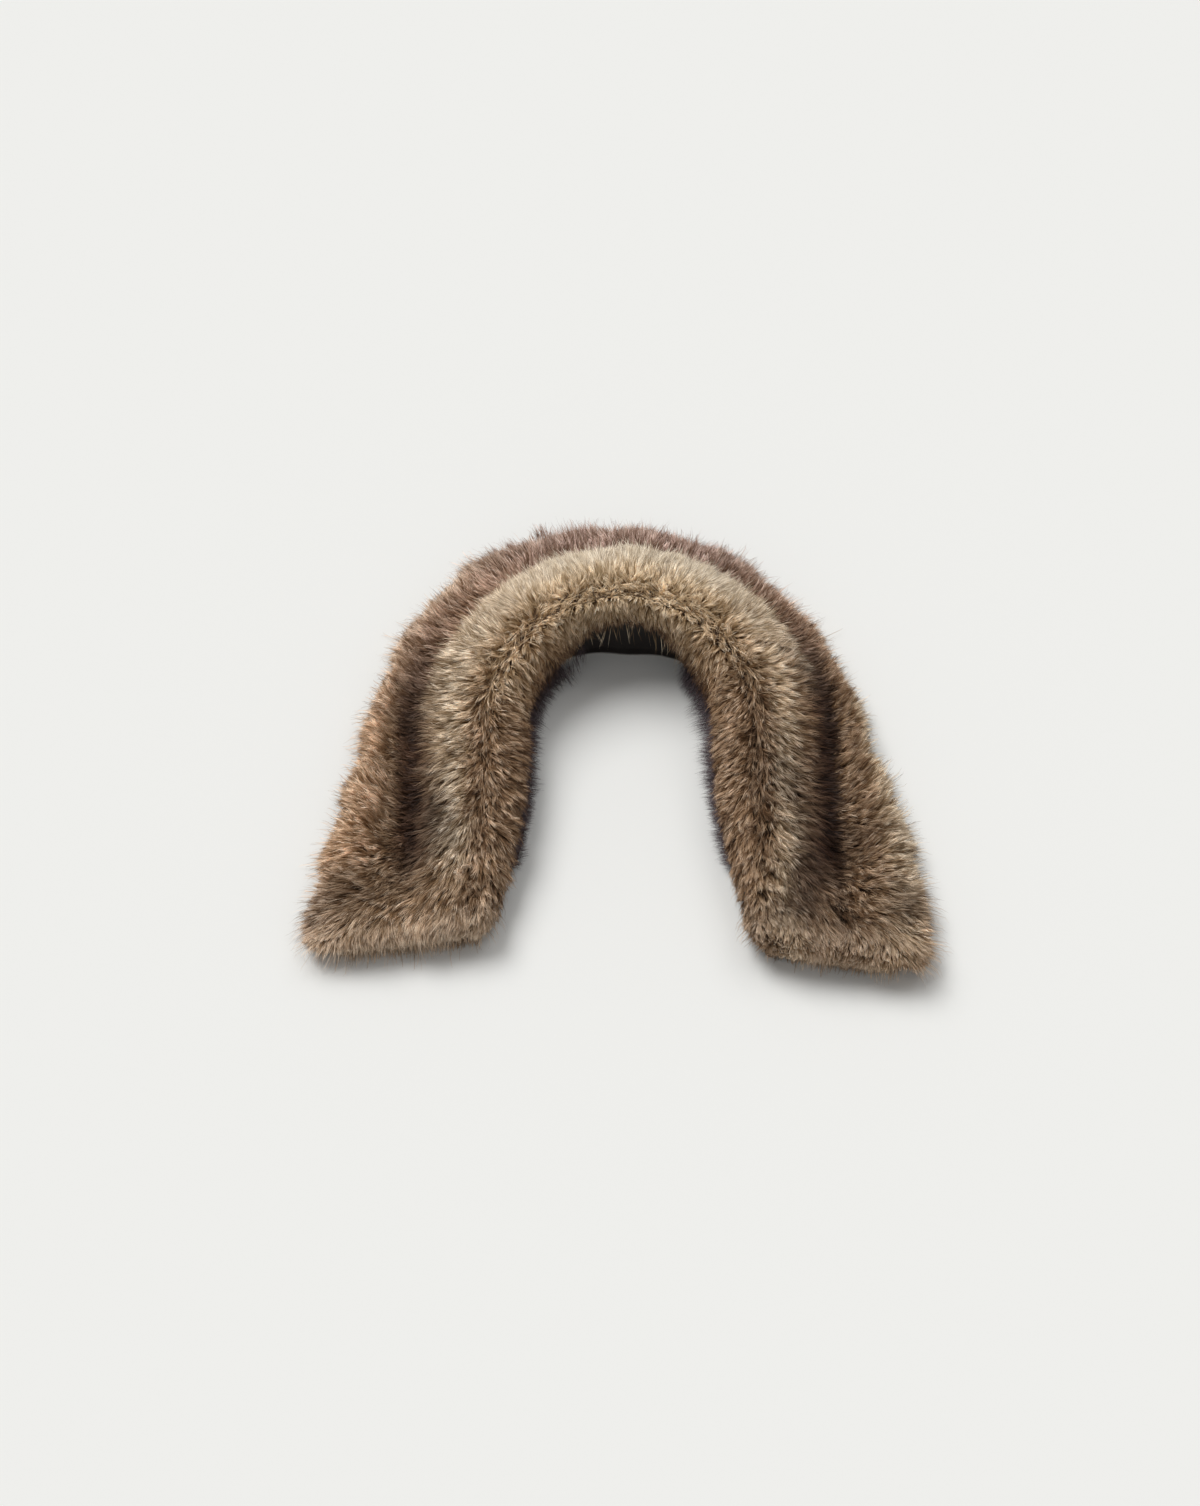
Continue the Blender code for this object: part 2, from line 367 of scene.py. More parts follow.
class Pile(NamedTuple):
    """The pile's size at one line across the collar."""

    across: float
    depth: float  # how far under the outer form the backing lies
    reach: float  # how far on along the form a strand's tip lies


PILE_DEPTHS = (
    Pile(-1.00, 7.0, 7.0),
    Pile(-0.50, 10.0, 13.0),
    Pile(-0.08, 7.0, 17.0),
    Pile(0.00, 6.0, 19.0),
    Pile(0.08, 7.0, 19.0),
    Pile(0.50, 12.0, 18.0),
    Pile(1.00, 13.0, 20.0),
    Pile(1.50, 11.0, 19.0),
    Pile(2.00, 9.0, 18.0),
    Pile(3.00, 12.0, 18.0),
    Pile(3.60, 14.0, 15.0),
    Pile(4.00, 15.0, 10.0),
)


# Along each arm: the place, and how far the stand's edge reaches from the crest.
EDGE_REACH = np.array([(0.50, 29.0), (0.72, 38.0), (1.00, 41.0), (1.30, 38.5), (1.60, 33.5), (1.70, 32.0)])


def smooth_curve(places: np.ndarray, values: np.ndarray, at: float) -> float:
    """The value at one place of a smooth curve through a table's rows.

    Args:
        places: The rows' places.
        values: The rows' values.
        at: The place.

    Returns:
        The value.
    """
    slopes = np.gradient(values, places)
    row = int(np.clip(np.searchsorted(places, at) - 1, 0, len(places) - 2))
    width = places[row + 1] - places[row]
    u = (at - places[row]) / width
    start = (1 + 2 * u) * (1 - u) ** 2 * values[row] + u * (1 - u) ** 2 * width * slopes[row]
    end = u**2 * (3 - 2 * u) * values[row + 1] + u**2 * (u - 1) * width * slopes[row + 1]
    return float(start + end)


def ramped(values: np.ndarray | float, start: float, width: float) -> np.ndarray | float:
    """0 up to a start, and 1 from a width past it. A negative width counts the other way."""
    return np.clip((values - start) / width, 0.0, 1.0)


def bump(at: float, middle: float, half_width: float) -> float:
    """1 at the middle, falling smoothly to 0 at half_width on each side."""
    away = min(abs(at - middle) / half_width, 1.0)
    return 0.5 + 0.5 * math.cos(math.pi * away)


def spline(points: Sequence[np.ndarray], cuts: int) -> np.ndarray:
    """A smooth line through points.

    Args:
        points: The points.
        cuts: How many more points lie between each two.

    Returns:
        The line's points.
    """
    padded = [2 * points[0] - points[1], *points, 2 * points[-1] - points[-2]]
    line = []
    for before, start, end, after in zip(padded, padded[1:], padded[2:], padded[3:]):
        for cut in range(cuts + 1):
            u = cut / (cuts + 1)
            line.append(
                0.5 * (2 * start + (end - before) * u
                       + (2 * before - 5 * start + 4 * end - after) * u**2
                       + (3 * start - before - 3 * end + after) * u**3)
            )
    line.append(points[-1])
    return np.array(line)


@dataclass(frozen=True)
class CollarForm:
    """The collar's sizes, as the solids have them."""

    arch_radius: float = 102.0
    splay_start: float = 1.2
    cap_lift: float = 9.0
    cap_fall: float = 0.35
    cap_turn: float = 80.0
    parting_depth: float = 3.0
    parting_width: float = 7.0
    parting_reach: float = 18.0  # how far from the crest the pile lies down in full, on the arms
    back_parting_reach: float = 30.0  # and at the back
    parting_turn: float = 2.5  # how far a tuft at the crest may turn at the back, in radians
    arm_parting_turn: float = 0.65  # and on the arms
    parting_spread: float = 9.0  # how far from the crest the tufts still turn so
    crest_comb: float = 78.0  # degrees from outwards at which the pile lies on the crest itself
    crest_band: float = 7.0  # how far from the crest it lies so
    lock_spacing: float = 46.0
    lock_reach: float = 4.5
    relief_height: float = 1.5
    relief_spacing: float = 24.0
    relief_fades: tuple[float, float] = (10.0, 25.0)  # how far from the lip and the edge the waves fade

    def section(self, place: float, arm: Arm) -> Section:
        """The section at a place between the table's rows, with what is the arm's own.

        Args:
            place: 0 at the middle of the back, 1 where the arm starts, 2 where its rounded end starts.
            arm: The arm.

        Returns:
            The section.
        """
        rows = np.array([row._replace(place=-row.place) for row in reversed(SECTIONS[1:])] + list(SECTIONS))
        values = [smooth_curve(rows[:, 0], rows[:, i], place) for i in range(1, rows.shape[1])]
        section = Section(place, *values)
        pit = arm.pit_depth * bump(place, 1.68, 0.3)
        flare = arm.end_reach * max(place - 1.0, 0.0)
        flare += arm.arch_reach * bump(place, arm.arch_place, arm.arch_span)
        rise = arm.end_rise * max(place - 1.5, 0.0) / 0.5
        return section._replace(
            crest_z=section.crest_z + rise,
            roll_z=section.roll_z + rise,
            valley_z=section.valley_z - pit + rise,
            flap_z=section.flap_z + rise,
            flap_out=section.flap_out + flare / 2,
            reach_out=section.reach_out + flare,
        )

    def along_crest(self, place: float, arm: Arm) -> float:
        """The distance along the crest from the middle of the back, negative on the left."""
        arch = self.arch_radius * math.radians(90.0 - arm.lean)
        return arm.side * (arch * min(place, 1.0) + arm.length * max(place - 1.0, 0.0))

    def crest_frame(self, place: float, arm: Arm) -> tuple[np.ndarray, np.ndarray, np.ndarray]:
        """The crest in plan at a place.

        Args:
            place: The place along the arm.
            arm: The arm.

        Returns:
            The crest's point, the outward direction and the direction of the arm's end.
        """
        turn = math.radians(90.0 - arm.lean) * min(place, 1.0)
        outward = np.array([arm.side * math.sin(turn), math.cos(turn)])
        onward = np.array([arm.side * math.cos(turn), -math.sin(turn)])
        point = self.arch_radius * outward + arm.length * max(place - 1.0, 0.0) * onward
        turned = max(place - self.splay_start, 0.0) / (2.0 - self.splay_start)
        splay = math.radians(arm.splay) * turned
        return point, outward * math.cos(splay) + onward * math.sin(splay), onward

    def lock_step(self, place: float, arm: Arm) -> float:
        """How far the outer edge stands out here, in steps of one lock."""
        turn = ((self.along_crest(place, arm) * arm.side + arm.lock_shift) / self.lock_spacing) % 1.0
        rise = turn / 0.8 if turn < 0.8 else (1.0 - turn) / 0.2
        return self.lock_reach * (rise * rise * (3 - 2 * rise) - 0.5)

    def relief(self, place: float, arm: Arm, across: float) -> float:
        """The low waves of combed locks on top of the fur."""
        wave = (self.along_crest(place, arm) * arm.side - 0.45 * across) / self.relief_spacing
        broken = math.sin(2 * math.pi * wave) + 0.6 * math.sin(2 * math.pi * (0.63 * wave + across / 55.0))
        return self.relief_height * 0.6 * broken

    def outline(self, place: float, arm: Arm, cuts: int) -> tuple[np.ndarray, np.ndarray]:
        """The fur's outline at a place, from the tips under the neck side to the floor at the outer edge.

        Args:
            place: The place along the arm.
            arm: The arm.
            cuts: How many more points lie between each two of the outline's own.

        Returns:
            The outline's points, as distance from the crest and height, and each point's place on the
            scale of Feature.
        """
        s = self.section(place, arm)
        edge = s.reach_out + self.lock_step(place, arm)
        half = self.parting_width / 2
        rows = np.array([
            # place on the scale of Feature, distance from the crest, height
            (-1.00, -s.lip_in, s.lip_z + 6.0),
            (-0.66, -0.92 * s.lip_in - 2.0, s.lip_z + 0.45 * (s.crest_z - s.lip_z)),
            (-0.33, -0.5 * s.lip_in - 5.0, s.crest_z - 7.0),
            (-0.08, -half, s.crest_z),
            (0.00, 0.0, s.crest_z - self.parting_depth),
            (0.08, half, s.crest_z),
            (0.55, 0.55 * s.roll_out, 0.5 * (s.crest_z + s.roll_z) + 5.0),
            (1.00, s.roll_out, s.roll_z),
            (1.50, 0.5 * (s.roll_out + s.valley_out) + 3.0, 0.5 * (s.roll_z + s.valley_z)),
            (2.00, s.valley_out, s.valley_z),
            (3.00, s.flap_out, s.flap_z),
            (3.55, 0.45 * s.flap_out + 0.55 * edge, 0.86 * s.flap_z),
            (3.85, edge - 2.0, 0.5 * s.flap_z),
            (4.00, edge, 0.25 * s.flap_z),
        ])
        line = spline(rows[:, 1:], cuts)
        by_lip, by_edge = self.relief_fades
        inland = ramped(line[:, 0], edge, -by_edge) * ramped(line[:, 0], -s.lip_in, by_lip)
        for point, share in zip(line, inland):
            point[1] += share * self.relief(place, arm, point[0])
        scale = np.interp(np.linspace(0, len(rows) - 1, len(line)), np.arange(len(rows)), rows[:, 0])
        under = [-s.lip_in + 1.5, s.lip_z]
        floor = [edge - 0.5, 0.6]
        return np.vstack([under, line, floor]), np.concatenate([[-1.12], scale, [4.12]])

    def placed(self, line: np.ndarray, place: float, arm: Arm, onward_by: float = 0.0) -> np.ndarray:
        """An outline's points in space."""
        point, outward, onward = self.crest_frame(place, arm)
        start = point + onward * onward_by
        flat = start + np.outer(line[:, 0], outward)
        return np.column_stack([flat, line[:, 1]])


# ---------------------------------------------------------------- the pelt


class ShadePatch(NamedTuple):
    """A patch of painted shade: where the combing parts, the pile's depth is drawn darker, standing in for
    the shade in it.
    """

    side: int
    place: float
    across: float
    half_length: float
    half_width: float
    strength: float


SHADE_PATCHES = (
    ShadePatch(-1, 0.82, 1.75, 0.18, 0.35, 0.50),
    ShadePatch(-1, 1.10, 1.7, 0.40, 0.4, 0.20),
    ShadePatch(-1, 1.44, 0.88, 0.24, 0.28, 0.72),
    ShadePatch(-1, 1.55, 0.50, 0.16, 0.42, 0.42),
    ShadePatch(-1, 1.18, 4.0, 0.24, 0.5, 0.35),
    ShadePatch(-1, 1.74, 1.5, 0.14, 0.5, 0.30),
    ShadePatch(-1, 1.83, 2.8, 0.13, 1.0, 0.50),
    ShadePatch(-1, 1.90, 3.5, 0.10, 0.5, 0.22),
    ShadePatch(-1, 1.92, 0.3, 0.12, 0.9, 0.25),
    ShadePatch(1, 0.62, 1.60, 0.20, 0.35, 0.35),
    ShadePatch(1, 1.22, 0.20, 0.14, 0.30, 0.40),
    ShadePatch(1, 1.40, 0.66, 0.34, 0.42, 0.66),
    ShadePatch(1, 1.70, 0.82, 0.13, 0.36, 0.62),
    ShadePatch(1, 1.55, 2.30, 0.10, 0.35, 0.45),
    ShadePatch(1, 1.99, 0.20, 0.09, 0.35, 0.45),
    ShadePatch(1, 1.52, 3.2, 0.10, 0.5, 0.40),
    ShadePatch(1, 1.70, 1.65, 0.30, 0.45, 0.68),
    ShadePatch(1, 1.90, 0.66, 0.13, 0.46, 0.74),
    ShadePatch(1, 1.85, 3.2, 0.13, 0.50, 0.66),
    ShadePatch(1, 1.98, 1.9, 0.07, 0.7, 0.35),
)


class Pelt:
    """The outer form as a grid, with the backing under it and the tip that each strand reaches.

    The rows run from the left arm's end round the neck to the right one's, the columns from the lip to
    the edge.
    """

    DROOP = 0.3  # how fast a tip falls that reaches past the form
    LOWEST_TIP = 1.5
    LOWEST_ROOT = 2.5
    RIM_HEIGHT = 1.6  # where the backing's outer rim and its two ends stop, over the surface
    END_STEPS = 6  # how many rows go down from each rounded end to the surface
    END_TUCK = 5.0  # how far the last of them lies under the end
    CORNER_ROWS = 11  # how many rows from each end its corners are rounded on
    CORNER_ROOTS = 16.0  # how far the backing draws back at a corner
    CORNER_TIPS = (5.0, 11.0)  # how far the tips do, on the left and on the right
    CORNER_SLANT = 0.6  # and how far to the side, as a share of that
    LIP_ROOTS = 1.3  # the lip's corners' share of it, for the backing
    LIP_TIPS = 0.2  # and for the tips
    END_TIPS = (1.0, 4.0)  # how far all the tips of an end stay back
    BARE_RIM = 5.0  # and how much farther the backing's own rim, which bears no pile
    LOCK_TIPS = 2.2  # how much of the edge's steps the tips add to the form's own
    CREST_LEAN = 0.15  # the share of its reach that a strand leans by on the crest itself, on the arms
    BACK_CREST_LEAN = 0.42  # and at the back
    ARM_REACH = 0.82  # the share of a strand's reach that is left on the arms
    END_REACH = 0.22  # the share of a strand's reach that is left at the arm's very end
    LIP_REACH = 0.25  # the share that is left at the lip, over the stand's edge
    LIP_HELD = (6.0, 2.0)  # how far the tips stay back there, on the left and on the right
    ROOT_ROUNDS = 6  # how often the backing's small bends are smoothed
    STAND_ROUNDS = 5  # how often the directions that the strands stand in are
    LEAST_RISE = -0.2  # how far such a direction may point down
    DARKEST = 0.8  # the most that the patches' painted shade darkens the fur

    # Stretches along the collar, each as the place where it starts and how far the change to it takes.
    REACH_CHANGES = (0.4, 0.5)  # where the reach becomes the arm's
    PARTING_CHANGES = (0.4, 0.6)  # where the parting does
    CREST_COMBED = (0.45, 0.4)  # where the crest's pile is combed along it
    STAND_COMES, STAND_GOES = (0.55, 0.25), (1.85, -0.25)  # where the stand's edge shows, from and to
    BACK_EVEN = (0.75, -0.35)  # where the back's strands gather less
    END_EVEN = (1.94, 0.10)  # where the ends' do

    # Stretches across it, on the scale of Feature.
    LIP_ZONE = (-0.45, -0.55)
    CORNER_EDGE = (3.2, 0.8)
    CORNER_LIP = (-0.5, 0.5)
    PALE_BAND = (0.95, 0.75)  # the back's pale band: its middle and half its width
    BAND_EASE = 0.68  # how much less the strands gather on it
    CREST_EASE = 0.28  # how much less between the lip and it
    CREST_EASE_LINE = 0.5  # where that ends
    END_EASE = 0.5  # how much less at the arms' ends

    def __init__(self, form: CollarForm, steps: int = 240, cuts: int = 3, cap_steps: int = 6) -> None:
        """Work out the grid.

        Args:
            form: The collar's sizes.
            steps: How many rows lie between the two arms' rounded ends.
            cuts: How many more columns lie between each two of the outline's own points.
            cap_steps: How many rows round off each end.
        """
        self.form = form
        _, self.across = form.outline(0.0, LEFT, cuts)
        rings = [(ring, place, LEFT) for ring, place in reversed(self.cap(LEFT, cuts, cap_steps))]
        for step in range(steps + 1):
            place = -2.0 + 4.0 * step / steps
            arm, place = (LEFT if place < 0 else RIGHT), abs(place)
            line, _ = form.outline(place, arm, cuts)
            rings.append((form.placed(line, place, arm), place, arm))
        rings += [(ring, place, RIGHT) for ring, place in self.cap(RIGHT, cuts, cap_steps)]
        self.form_grid = np.array([ring for ring, _, _ in rings])
        self.place = np.array([place for _, place, _ in rings])
        self.side = np.array([arm.side for _, _, arm in rings])
        self.steps_out = np.array([form.lock_step(place, arm) for _, place, arm in rings])
        frames = [form.crest_frame(min(place, 2.0), arm) for _, place, arm in rings]
        self.outward = np.array([outward for _, outward, _ in frames])
        self.onward = np.array([onward for _, _, onward in frames])
        self.centre()
        self.normals = self.grid_normals(self.form_grid)
        crest = int(np.argmin(np.abs(self.across)))
        arc = self.lengths(axis=1)
        self.arc = arc - arc[:, crest : crest + 1]
        table = np.array(PILE_DEPTHS)
        self.depth = np.interp(self.across, table[:, 0], table[:, 1])
        self.at_lip = ramped(self.across, *self.LIP_ZONE)
        self.over_stand = ramped(self.place, *self.STAND_COMES) * ramped(self.place, *self.STAND_GOES)
        self.root = self.backing_grid()
        self.tip = self.tip_grid(np.interp(self.across, table[:, 0], table[:, 2]))

    def cap(self, arm: Arm, cuts: int, cap_steps: int) -> list[tuple[np.ndarray, float]]:
        """The rows that round off an arm's end, from its last section outwards and down to the surface.

        Args:
            arm: The arm.
            cuts: How many more columns lie between each two of the outline's own points.
            cap_steps: How many rows round it off.

        Returns:
            Each row's points and its place.
        """
        form = self.form
        last, _ = form.outline(2.0, arm, cuts)
        middle = 0.5 * (last[:, 0].max() - form.section(2.0, arm).lip_in)
        tallest = last[:, 1].max()
        rows = []
        for step in range(1, cap_steps + 1):
            turn = math.radians(form.cap_turn) * step / cap_steps
            narrowed = 1.0 - arm.end_draw * (1.0 - math.cos(turn))
            lift = form.cap_lift * (1.0 - math.cos(turn))
            share = math.cos(turn) ** form.cap_fall - lift / tallest
            line = np.column_stack([middle + (last[:, 0] - middle) * narrowed, lift + last[:, 1] * share])
            onward_by = arm.end_length * math.sin(turn)
            rows.append((form.placed(line, 2.0, arm, onward_by), 2.0 + onward_by / arm.length))
        nose, place = rows[-1]
        _, _, onward = form.crest_frame(2.0, arm)
        for step in range(1, self.END_STEPS + 1):
            share = step / self.END_STEPS
            fallen = nose.copy()
            fallen[:, :2] -= onward * self.END_TUCK * share * share
            fallen[:, 2] += (self.RIM_HEIGHT - nose[:, 2]) * share
            rows.append((fallen, place))
        return rows

    def centre(self) -> None:
        """Set the grid where the solid stands, whose box is centred on the origin."""
        low, high = (np.array(corner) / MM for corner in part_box("fur_collar"))
        middle = 0.5 * (self.form_grid.min(axis=(0, 1)) + self.form_grid.max(axis=(0, 1)))
        self.shift = (0.5 * (low + high) - middle)[:2]
        self.form_grid[:, :, :2] += self.shift

    def lengths(self, axis: int) -> np.ndarray:
        """How far each point of the form lies along its row or its column from the first one."""
        spans = np.linalg.norm(np.diff(self.form_grid, axis=axis), axis=2)
        return np.insert(np.cumsum(spans, axis=axis), 0, 0.0, axis=axis)

    @staticmethod
    def softened(grid: np.ndarray, rounds: int) -> np.ndarray:
        """A grid with its small bends smoothed."""
        for _ in range(rounds):
            wide = np.pad(grid, ((1, 1), (1, 1), (0, 0)), mode="edge")
            near = wide[:-2, 1:-1] + wide[2:, 1:-1] + wide[1:-1, :-2] + wide[1:-1, 2:]
            grid = 0.5 * grid + 0.125 * near
        return grid

    @staticmethod
    def grid_normals(grid: np.ndarray) -> np.ndarray:
        """The direction that stands out of a grid at each of its points."""
        normals = np.cross(np.gradient(grid, axis=1), np.gradient(grid, axis=0))
        normals *= -1.0 if normals[:, normals.shape[1] // 2, 2].mean() < 0 else 1.0
        normals /= np.maximum(np.linalg.norm(normals, axis=2, keepdims=True), 1e-9)
        normals[:, :, 2] = np.maximum(normals[:, :, 2], Pelt.LEAST_RISE)
        normals = Pelt.softened(normals, Pelt.STAND_ROUNDS)
        return normals / np.linalg.norm(normals, axis=2, keepdims=True)

    def by_side(self, sizes: tuple[float, float]) -> np.ndarray:
        """For each row, the size for its own side, left or right, to move the row's points by."""
        return np.where(self.side < 0, *sizes)[:, None, None]

    def comb_angles(self) -> np.ndarray:
        """The combing at each point of the grid, in radians from straight outwards or inwards.

        Returns:
            The angles.
        """
        table = np.array(COMBING)
        by_row = np.array([np.interp(self.place, table[:, 0], angles) for angles in table.T[1:]])
        lines = [float(feature) for feature in Feature]
        angles = np.radians([np.interp(self.across, lines, angles) for angles in by_row.T])
        # On the arms the pile on the crest itself lies along it.
        near_crest = np.exp(-((self.arc / self.form.crest_band) ** 2))
        at_crest = near_crest * ramped(self.place, *self.CREST_COMBED)[:, None]
        return angles + (math.radians(self.form.crest_comb) - angles) * at_crest

    def corners(self, at_lip: float) -> np.ndarray:
        """How each point of the grid moves in to round off the ends' corners.

        Args:
            at_lip: The lip's corners' share of the move.

        Returns:
            The moves out, for a whole way of 1 at the outer edge's corners.
        """
        numbers = np.arange(len(self.place))
        from_end = np.minimum(numbers, numbers[::-1])
        near_end = ramped(from_end, self.CORNER_ROWS, -self.CORNER_ROWS)[:, None, None]
        (edge, edge_width), (lip, lip_width) = self.CORNER_EDGE, self.CORNER_LIP
        by_edge = np.maximum((self.across - edge) / edge_width, 0.0)[None, :, None]
        by_lip = at_lip * np.maximum((lip - self.across) / lip_width, 0.0)[None, :, None]
        backwards = (by_edge + by_lip) * self.onward[:, None, :]
        inwards = self.CORNER_SLANT * (by_edge - by_lip) * self.outward[:, None, :]
        return near_end * (backwards + inwards)

    def backing_grid(self) -> np.ndarray:
        """The backing's points: the form, moved in by the pile's depth."""
        root = self.softened(self.form_grid - self.normals * self.depth[None, :, None], self.ROOT_ROUNDS)
        root[:, :, 2] = np.maximum(root[:, :, 2], self.LOWEST_ROOT)
        corners = self.corners(self.LIP_ROOTS)
        root[:, :, :2] -= self.CORNER_ROOTS * corners
        root[:, -1, 2] = root[0, :, 2] = root[-1, :, 2] = self.RIM_HEIGHT
        root[:, [0, -1], :2] -= self.BARE_RIM * corners[:, [0, -1]]
        return root

    def reaching(self, reaches: np.ndarray, angles: np.ndarray, near_end: np.ndarray) -> np.ndarray:
        """How far each strand's tip lies from its root, along the form.

        Args:
            reaches: The most of it, at each column.
            angles: The combing.
            near_end: How near each row is to an arm's very end, from 0 to 1.

        Returns:
            The lengths.
        """
        form = self.form
        on_arm = ramped(self.place, *self.REACH_CHANGES)
        crest_lean = self.BACK_CREST_LEAN + (self.CREST_LEAN - self.BACK_CREST_LEAN) * on_arm
        parting_reach = np.interp(on_arm, (0.0, 1.0), (form.back_parting_reach, form.parting_reach))
        left = (1.0 - (1.0 - self.END_REACH) * near_end) * (1.0 - (1.0 - self.ARM_REACH) * on_arm)
        # Near the crest the pile stands up, unless it is combed along it.
        share = np.minimum(np.abs(self.arc) / parting_reach[:, None], 1.0)
        leaning = crest_lean[:, None] + (1.0 - crest_lean[:, None]) * share * share * (3 - 2 * share)
        leaning += (1.0 - leaning) * np.abs(np.sin(angles))
        trim = 1.0 - (1.0 - self.LIP_REACH) * self.at_lip[None, :] * self.over_stand[:, None]
        lengths = reaches[None, :] * leaning * left[:, None] * trim
        return lengths + self.LOCK_TIPS * ramped(self.across, 3.0, 1.0)[None, :] * self.steps_out[:, None]

    def landing(
        self, row: int, column: int, onward_by: float, outward_by: float, travel: np.ndarray
    ) -> np.ndarray:
        """Where a strand ends: on the form, or a little past its border.

        Args:
            row: The row that it starts on.
            column: The column.
            onward_by: How far on along the collar it reaches.
            outward_by: How far across it.
            travel: How far each row lies along the column from the first one.

        Returns:
            The tip.
        """
        target = travel[row] + onward_by
        at = float(np.interp(target, travel, np.arange(len(travel))))
        low = min(int(at), len(travel) - 2)
        end = np.zeros(3)
        past_edge = 0.0
        for near, weight in ((low, low + 1 - at), (low + 1, at - low)):
            arc = self.arc[near]
            wanted = arc[column] + outward_by
            reached = min(max(wanted, arc[0]), arc[-1])
            end += weight * np.array([np.interp(reached, arc, layer) for layer in self.form_grid[near].T])
            past_edge += weight * (wanted - reached)
        past_end = max(target - travel[-1], -target, 0.0)
        end[:2] += past_edge * self.outward[row] + past_end * self.onward[row]
        end[2] = max(end[2] - self.DROOP * (abs(past_edge) + past_end), self.LOWEST_TIP)
        return end

    def tip_grid(self, reaches: np.ndarray) -> np.ndarray:
        """Where the strands above each point of the backing end.

        Args:
            reaches: How far on along the form a strand's tip lies, at each column.

        Returns:
            The tips.
        """
        near_end = ramped(self.place, 2.0, self.place.max() - 2.0)
        travel = self.lengths(axis=0)
        angles = self.comb_angles()
        lengths = self.reaching(reaches, angles, near_end)
        onward_by = self.side[:, None] * lengths * np.sin(angles)
        outward_by = np.where(self.across < 0, -1.0, 1.0)[None, :] * lengths * np.cos(angles)
        tips = np.empty_like(self.form_grid)
        for row, column in np.ndindex(self.arc.shape):
            aim = onward_by[row, column], outward_by[row, column]
            tips[row, column] = self.landing(row, column, *aim, travel[:, column])
        # Over the stand's edge the tips stay back, more on the left than on the right.
        held_back = self.by_side(self.LIP_HELD) * self.over_stand[:, None, None]
        tips[:, :, :2] += held_back * self.at_lip[None, :, None] * self.outward[:, None, :]
        tips[:, :, :2] -= self.by_side(self.CORNER_TIPS) * self.corners(self.LIP_TIPS)
        tips[:, :, :2] -= self.by_side(self.END_TIPS) * near_end[:, None, None] * self.onward[:, None, :]
        # The tufts at the crest fill its notch.
        tips[:, :, 2] += self.form.parting_depth * np.exp(-((self.arc / self.form.parting_width) ** 2))
        return tips

    def parting(self) -> np.ndarray:
        """How far a tuft may turn its own way, in radians, at each point of the grid."""
        on_arm = ramped(self.place, *self.PARTING_CHANGES)
        most = self.form.parting_turn + (self.form.arm_parting_turn - self.form.parting_turn) * on_arm
        return most[:, None] * np.exp(-((self.arc / self.form.parting_spread) ** 2))

    def gather(self) -> np.ndarray:
        """How strongly strands gather in tufts: least on the back's pale band and at the ends."""
        middle, half = self.PALE_BAND
        on_back = ramped(self.place, *self.BACK_EVEN)[:, None]
        on_band = np.clip(1.0 - np.abs(self.across - middle) / half, 0.0, 1.0) ** 0.5
        eased = np.where(self.across < self.CREST_EASE_LINE, self.CREST_EASE, 0.0)
        across = np.maximum(self.BAND_EASE * on_band, eased)[None, :]
        at_end = ramped(self.place, *self.END_EVEN)[:, None]
        return 1.0 - np.maximum(on_back * across, self.END_EASE * at_end)

    def dusk(self) -> np.ndarray:
        """How much painted shade darkens the fur in its patches, at each point of the grid."""
        total = np.zeros(self.arc.shape)
        for patch in SHADE_PATCHES:
            along = (self.place[:, None] - patch.place) / patch.half_length
            aside = (self.across[None, :] - patch.across) / patch.half_width
            total += patch.strength * np.exp(-(along**2) - aside**2) * (self.side[:, None] == patch.side)
        return np.minimum(total, self.DARKEST)

    def sowing(self, low: float, high: float, rows: slice = slice(None)) -> "Sowing":
        """The part of the pelt between two lines across the collar, to sow strands on.

        Args:
            low: The first line, on the scale of Feature.
            high: The last line.
            rows: The rows that are taken.

        Returns:
            The part.
        """
        columns = np.where((self.across >= low - 1e-6) & (self.across <= high + 1e-6))[0]
        pick = np.ix_(np.arange(len(self.place))[rows], columns)
        shape = self.arc.shape
        numbers = {
            "across": np.broadcast_to(self.across, shape),
            "onward": np.broadcast_to(self.place[:, None], shape),
            "arm_side": np.broadcast_to(self.side[:, None], shape),
            "parting": self.parting(),
            "dusk": self.dusk(),
            "gather": self.gather(),
        }
        grids = (self.form_grid[pick], self.root[pick], self.tip[pick], self.normals[pick])
        return Sowing(*grids, {label: values[pick] for label, values in numbers.items()})


# ---------------------------------------------------------------- strands


def grid_mesh(name: str, points: np.ndarray) -> Mesh:
    """A mesh of quads through a grid of points.

    Args:
        name: The mesh's name.
        points: The grid, in millimetres.

    Returns:
        The mesh.
    """
    rows, width = points.shape[:2]
    index = np.arange(rows * width).reshape(rows, width)
    quads = np.stack([index[:-1, :-1], index[:-1, 1:], index[1:, 1:], index[1:, :-1]], axis=-1)
    mesh = bpy.data.meshes.new(name)
    mesh.from_pydata((points * MM).reshape(-1, 3).tolist(), [], quads.reshape(-1, 4).tolist())
    return mesh


def piece_of(name: str, mesh: Mesh, finish: Optional[Material] = None, wall: float = 0.0) -> Object:
    """Put a mesh in the scene.

    Args:
        name: The piece's name.
        mesh: Its smooth faces.
        finish: Its finish, unless the mesh has one.
        wall: How thick a sheet is, in millimetres, inwards from the mesh. 0 leaves it as it is.

    Returns:
        The piece.
    """
    if finish:
        mesh.materials.append(finish)
    mesh.shade_smooth()
    piece = bpy.data.objects.new(name, mesh)
    bpy.context.scene.collection.objects.link(piece)
    if wall:
        thickness = piece.modifiers.new("thickness", "SOLIDIFY")
        thickness.thickness = wall * MM
        thickness.offset = -1.0
    return piece


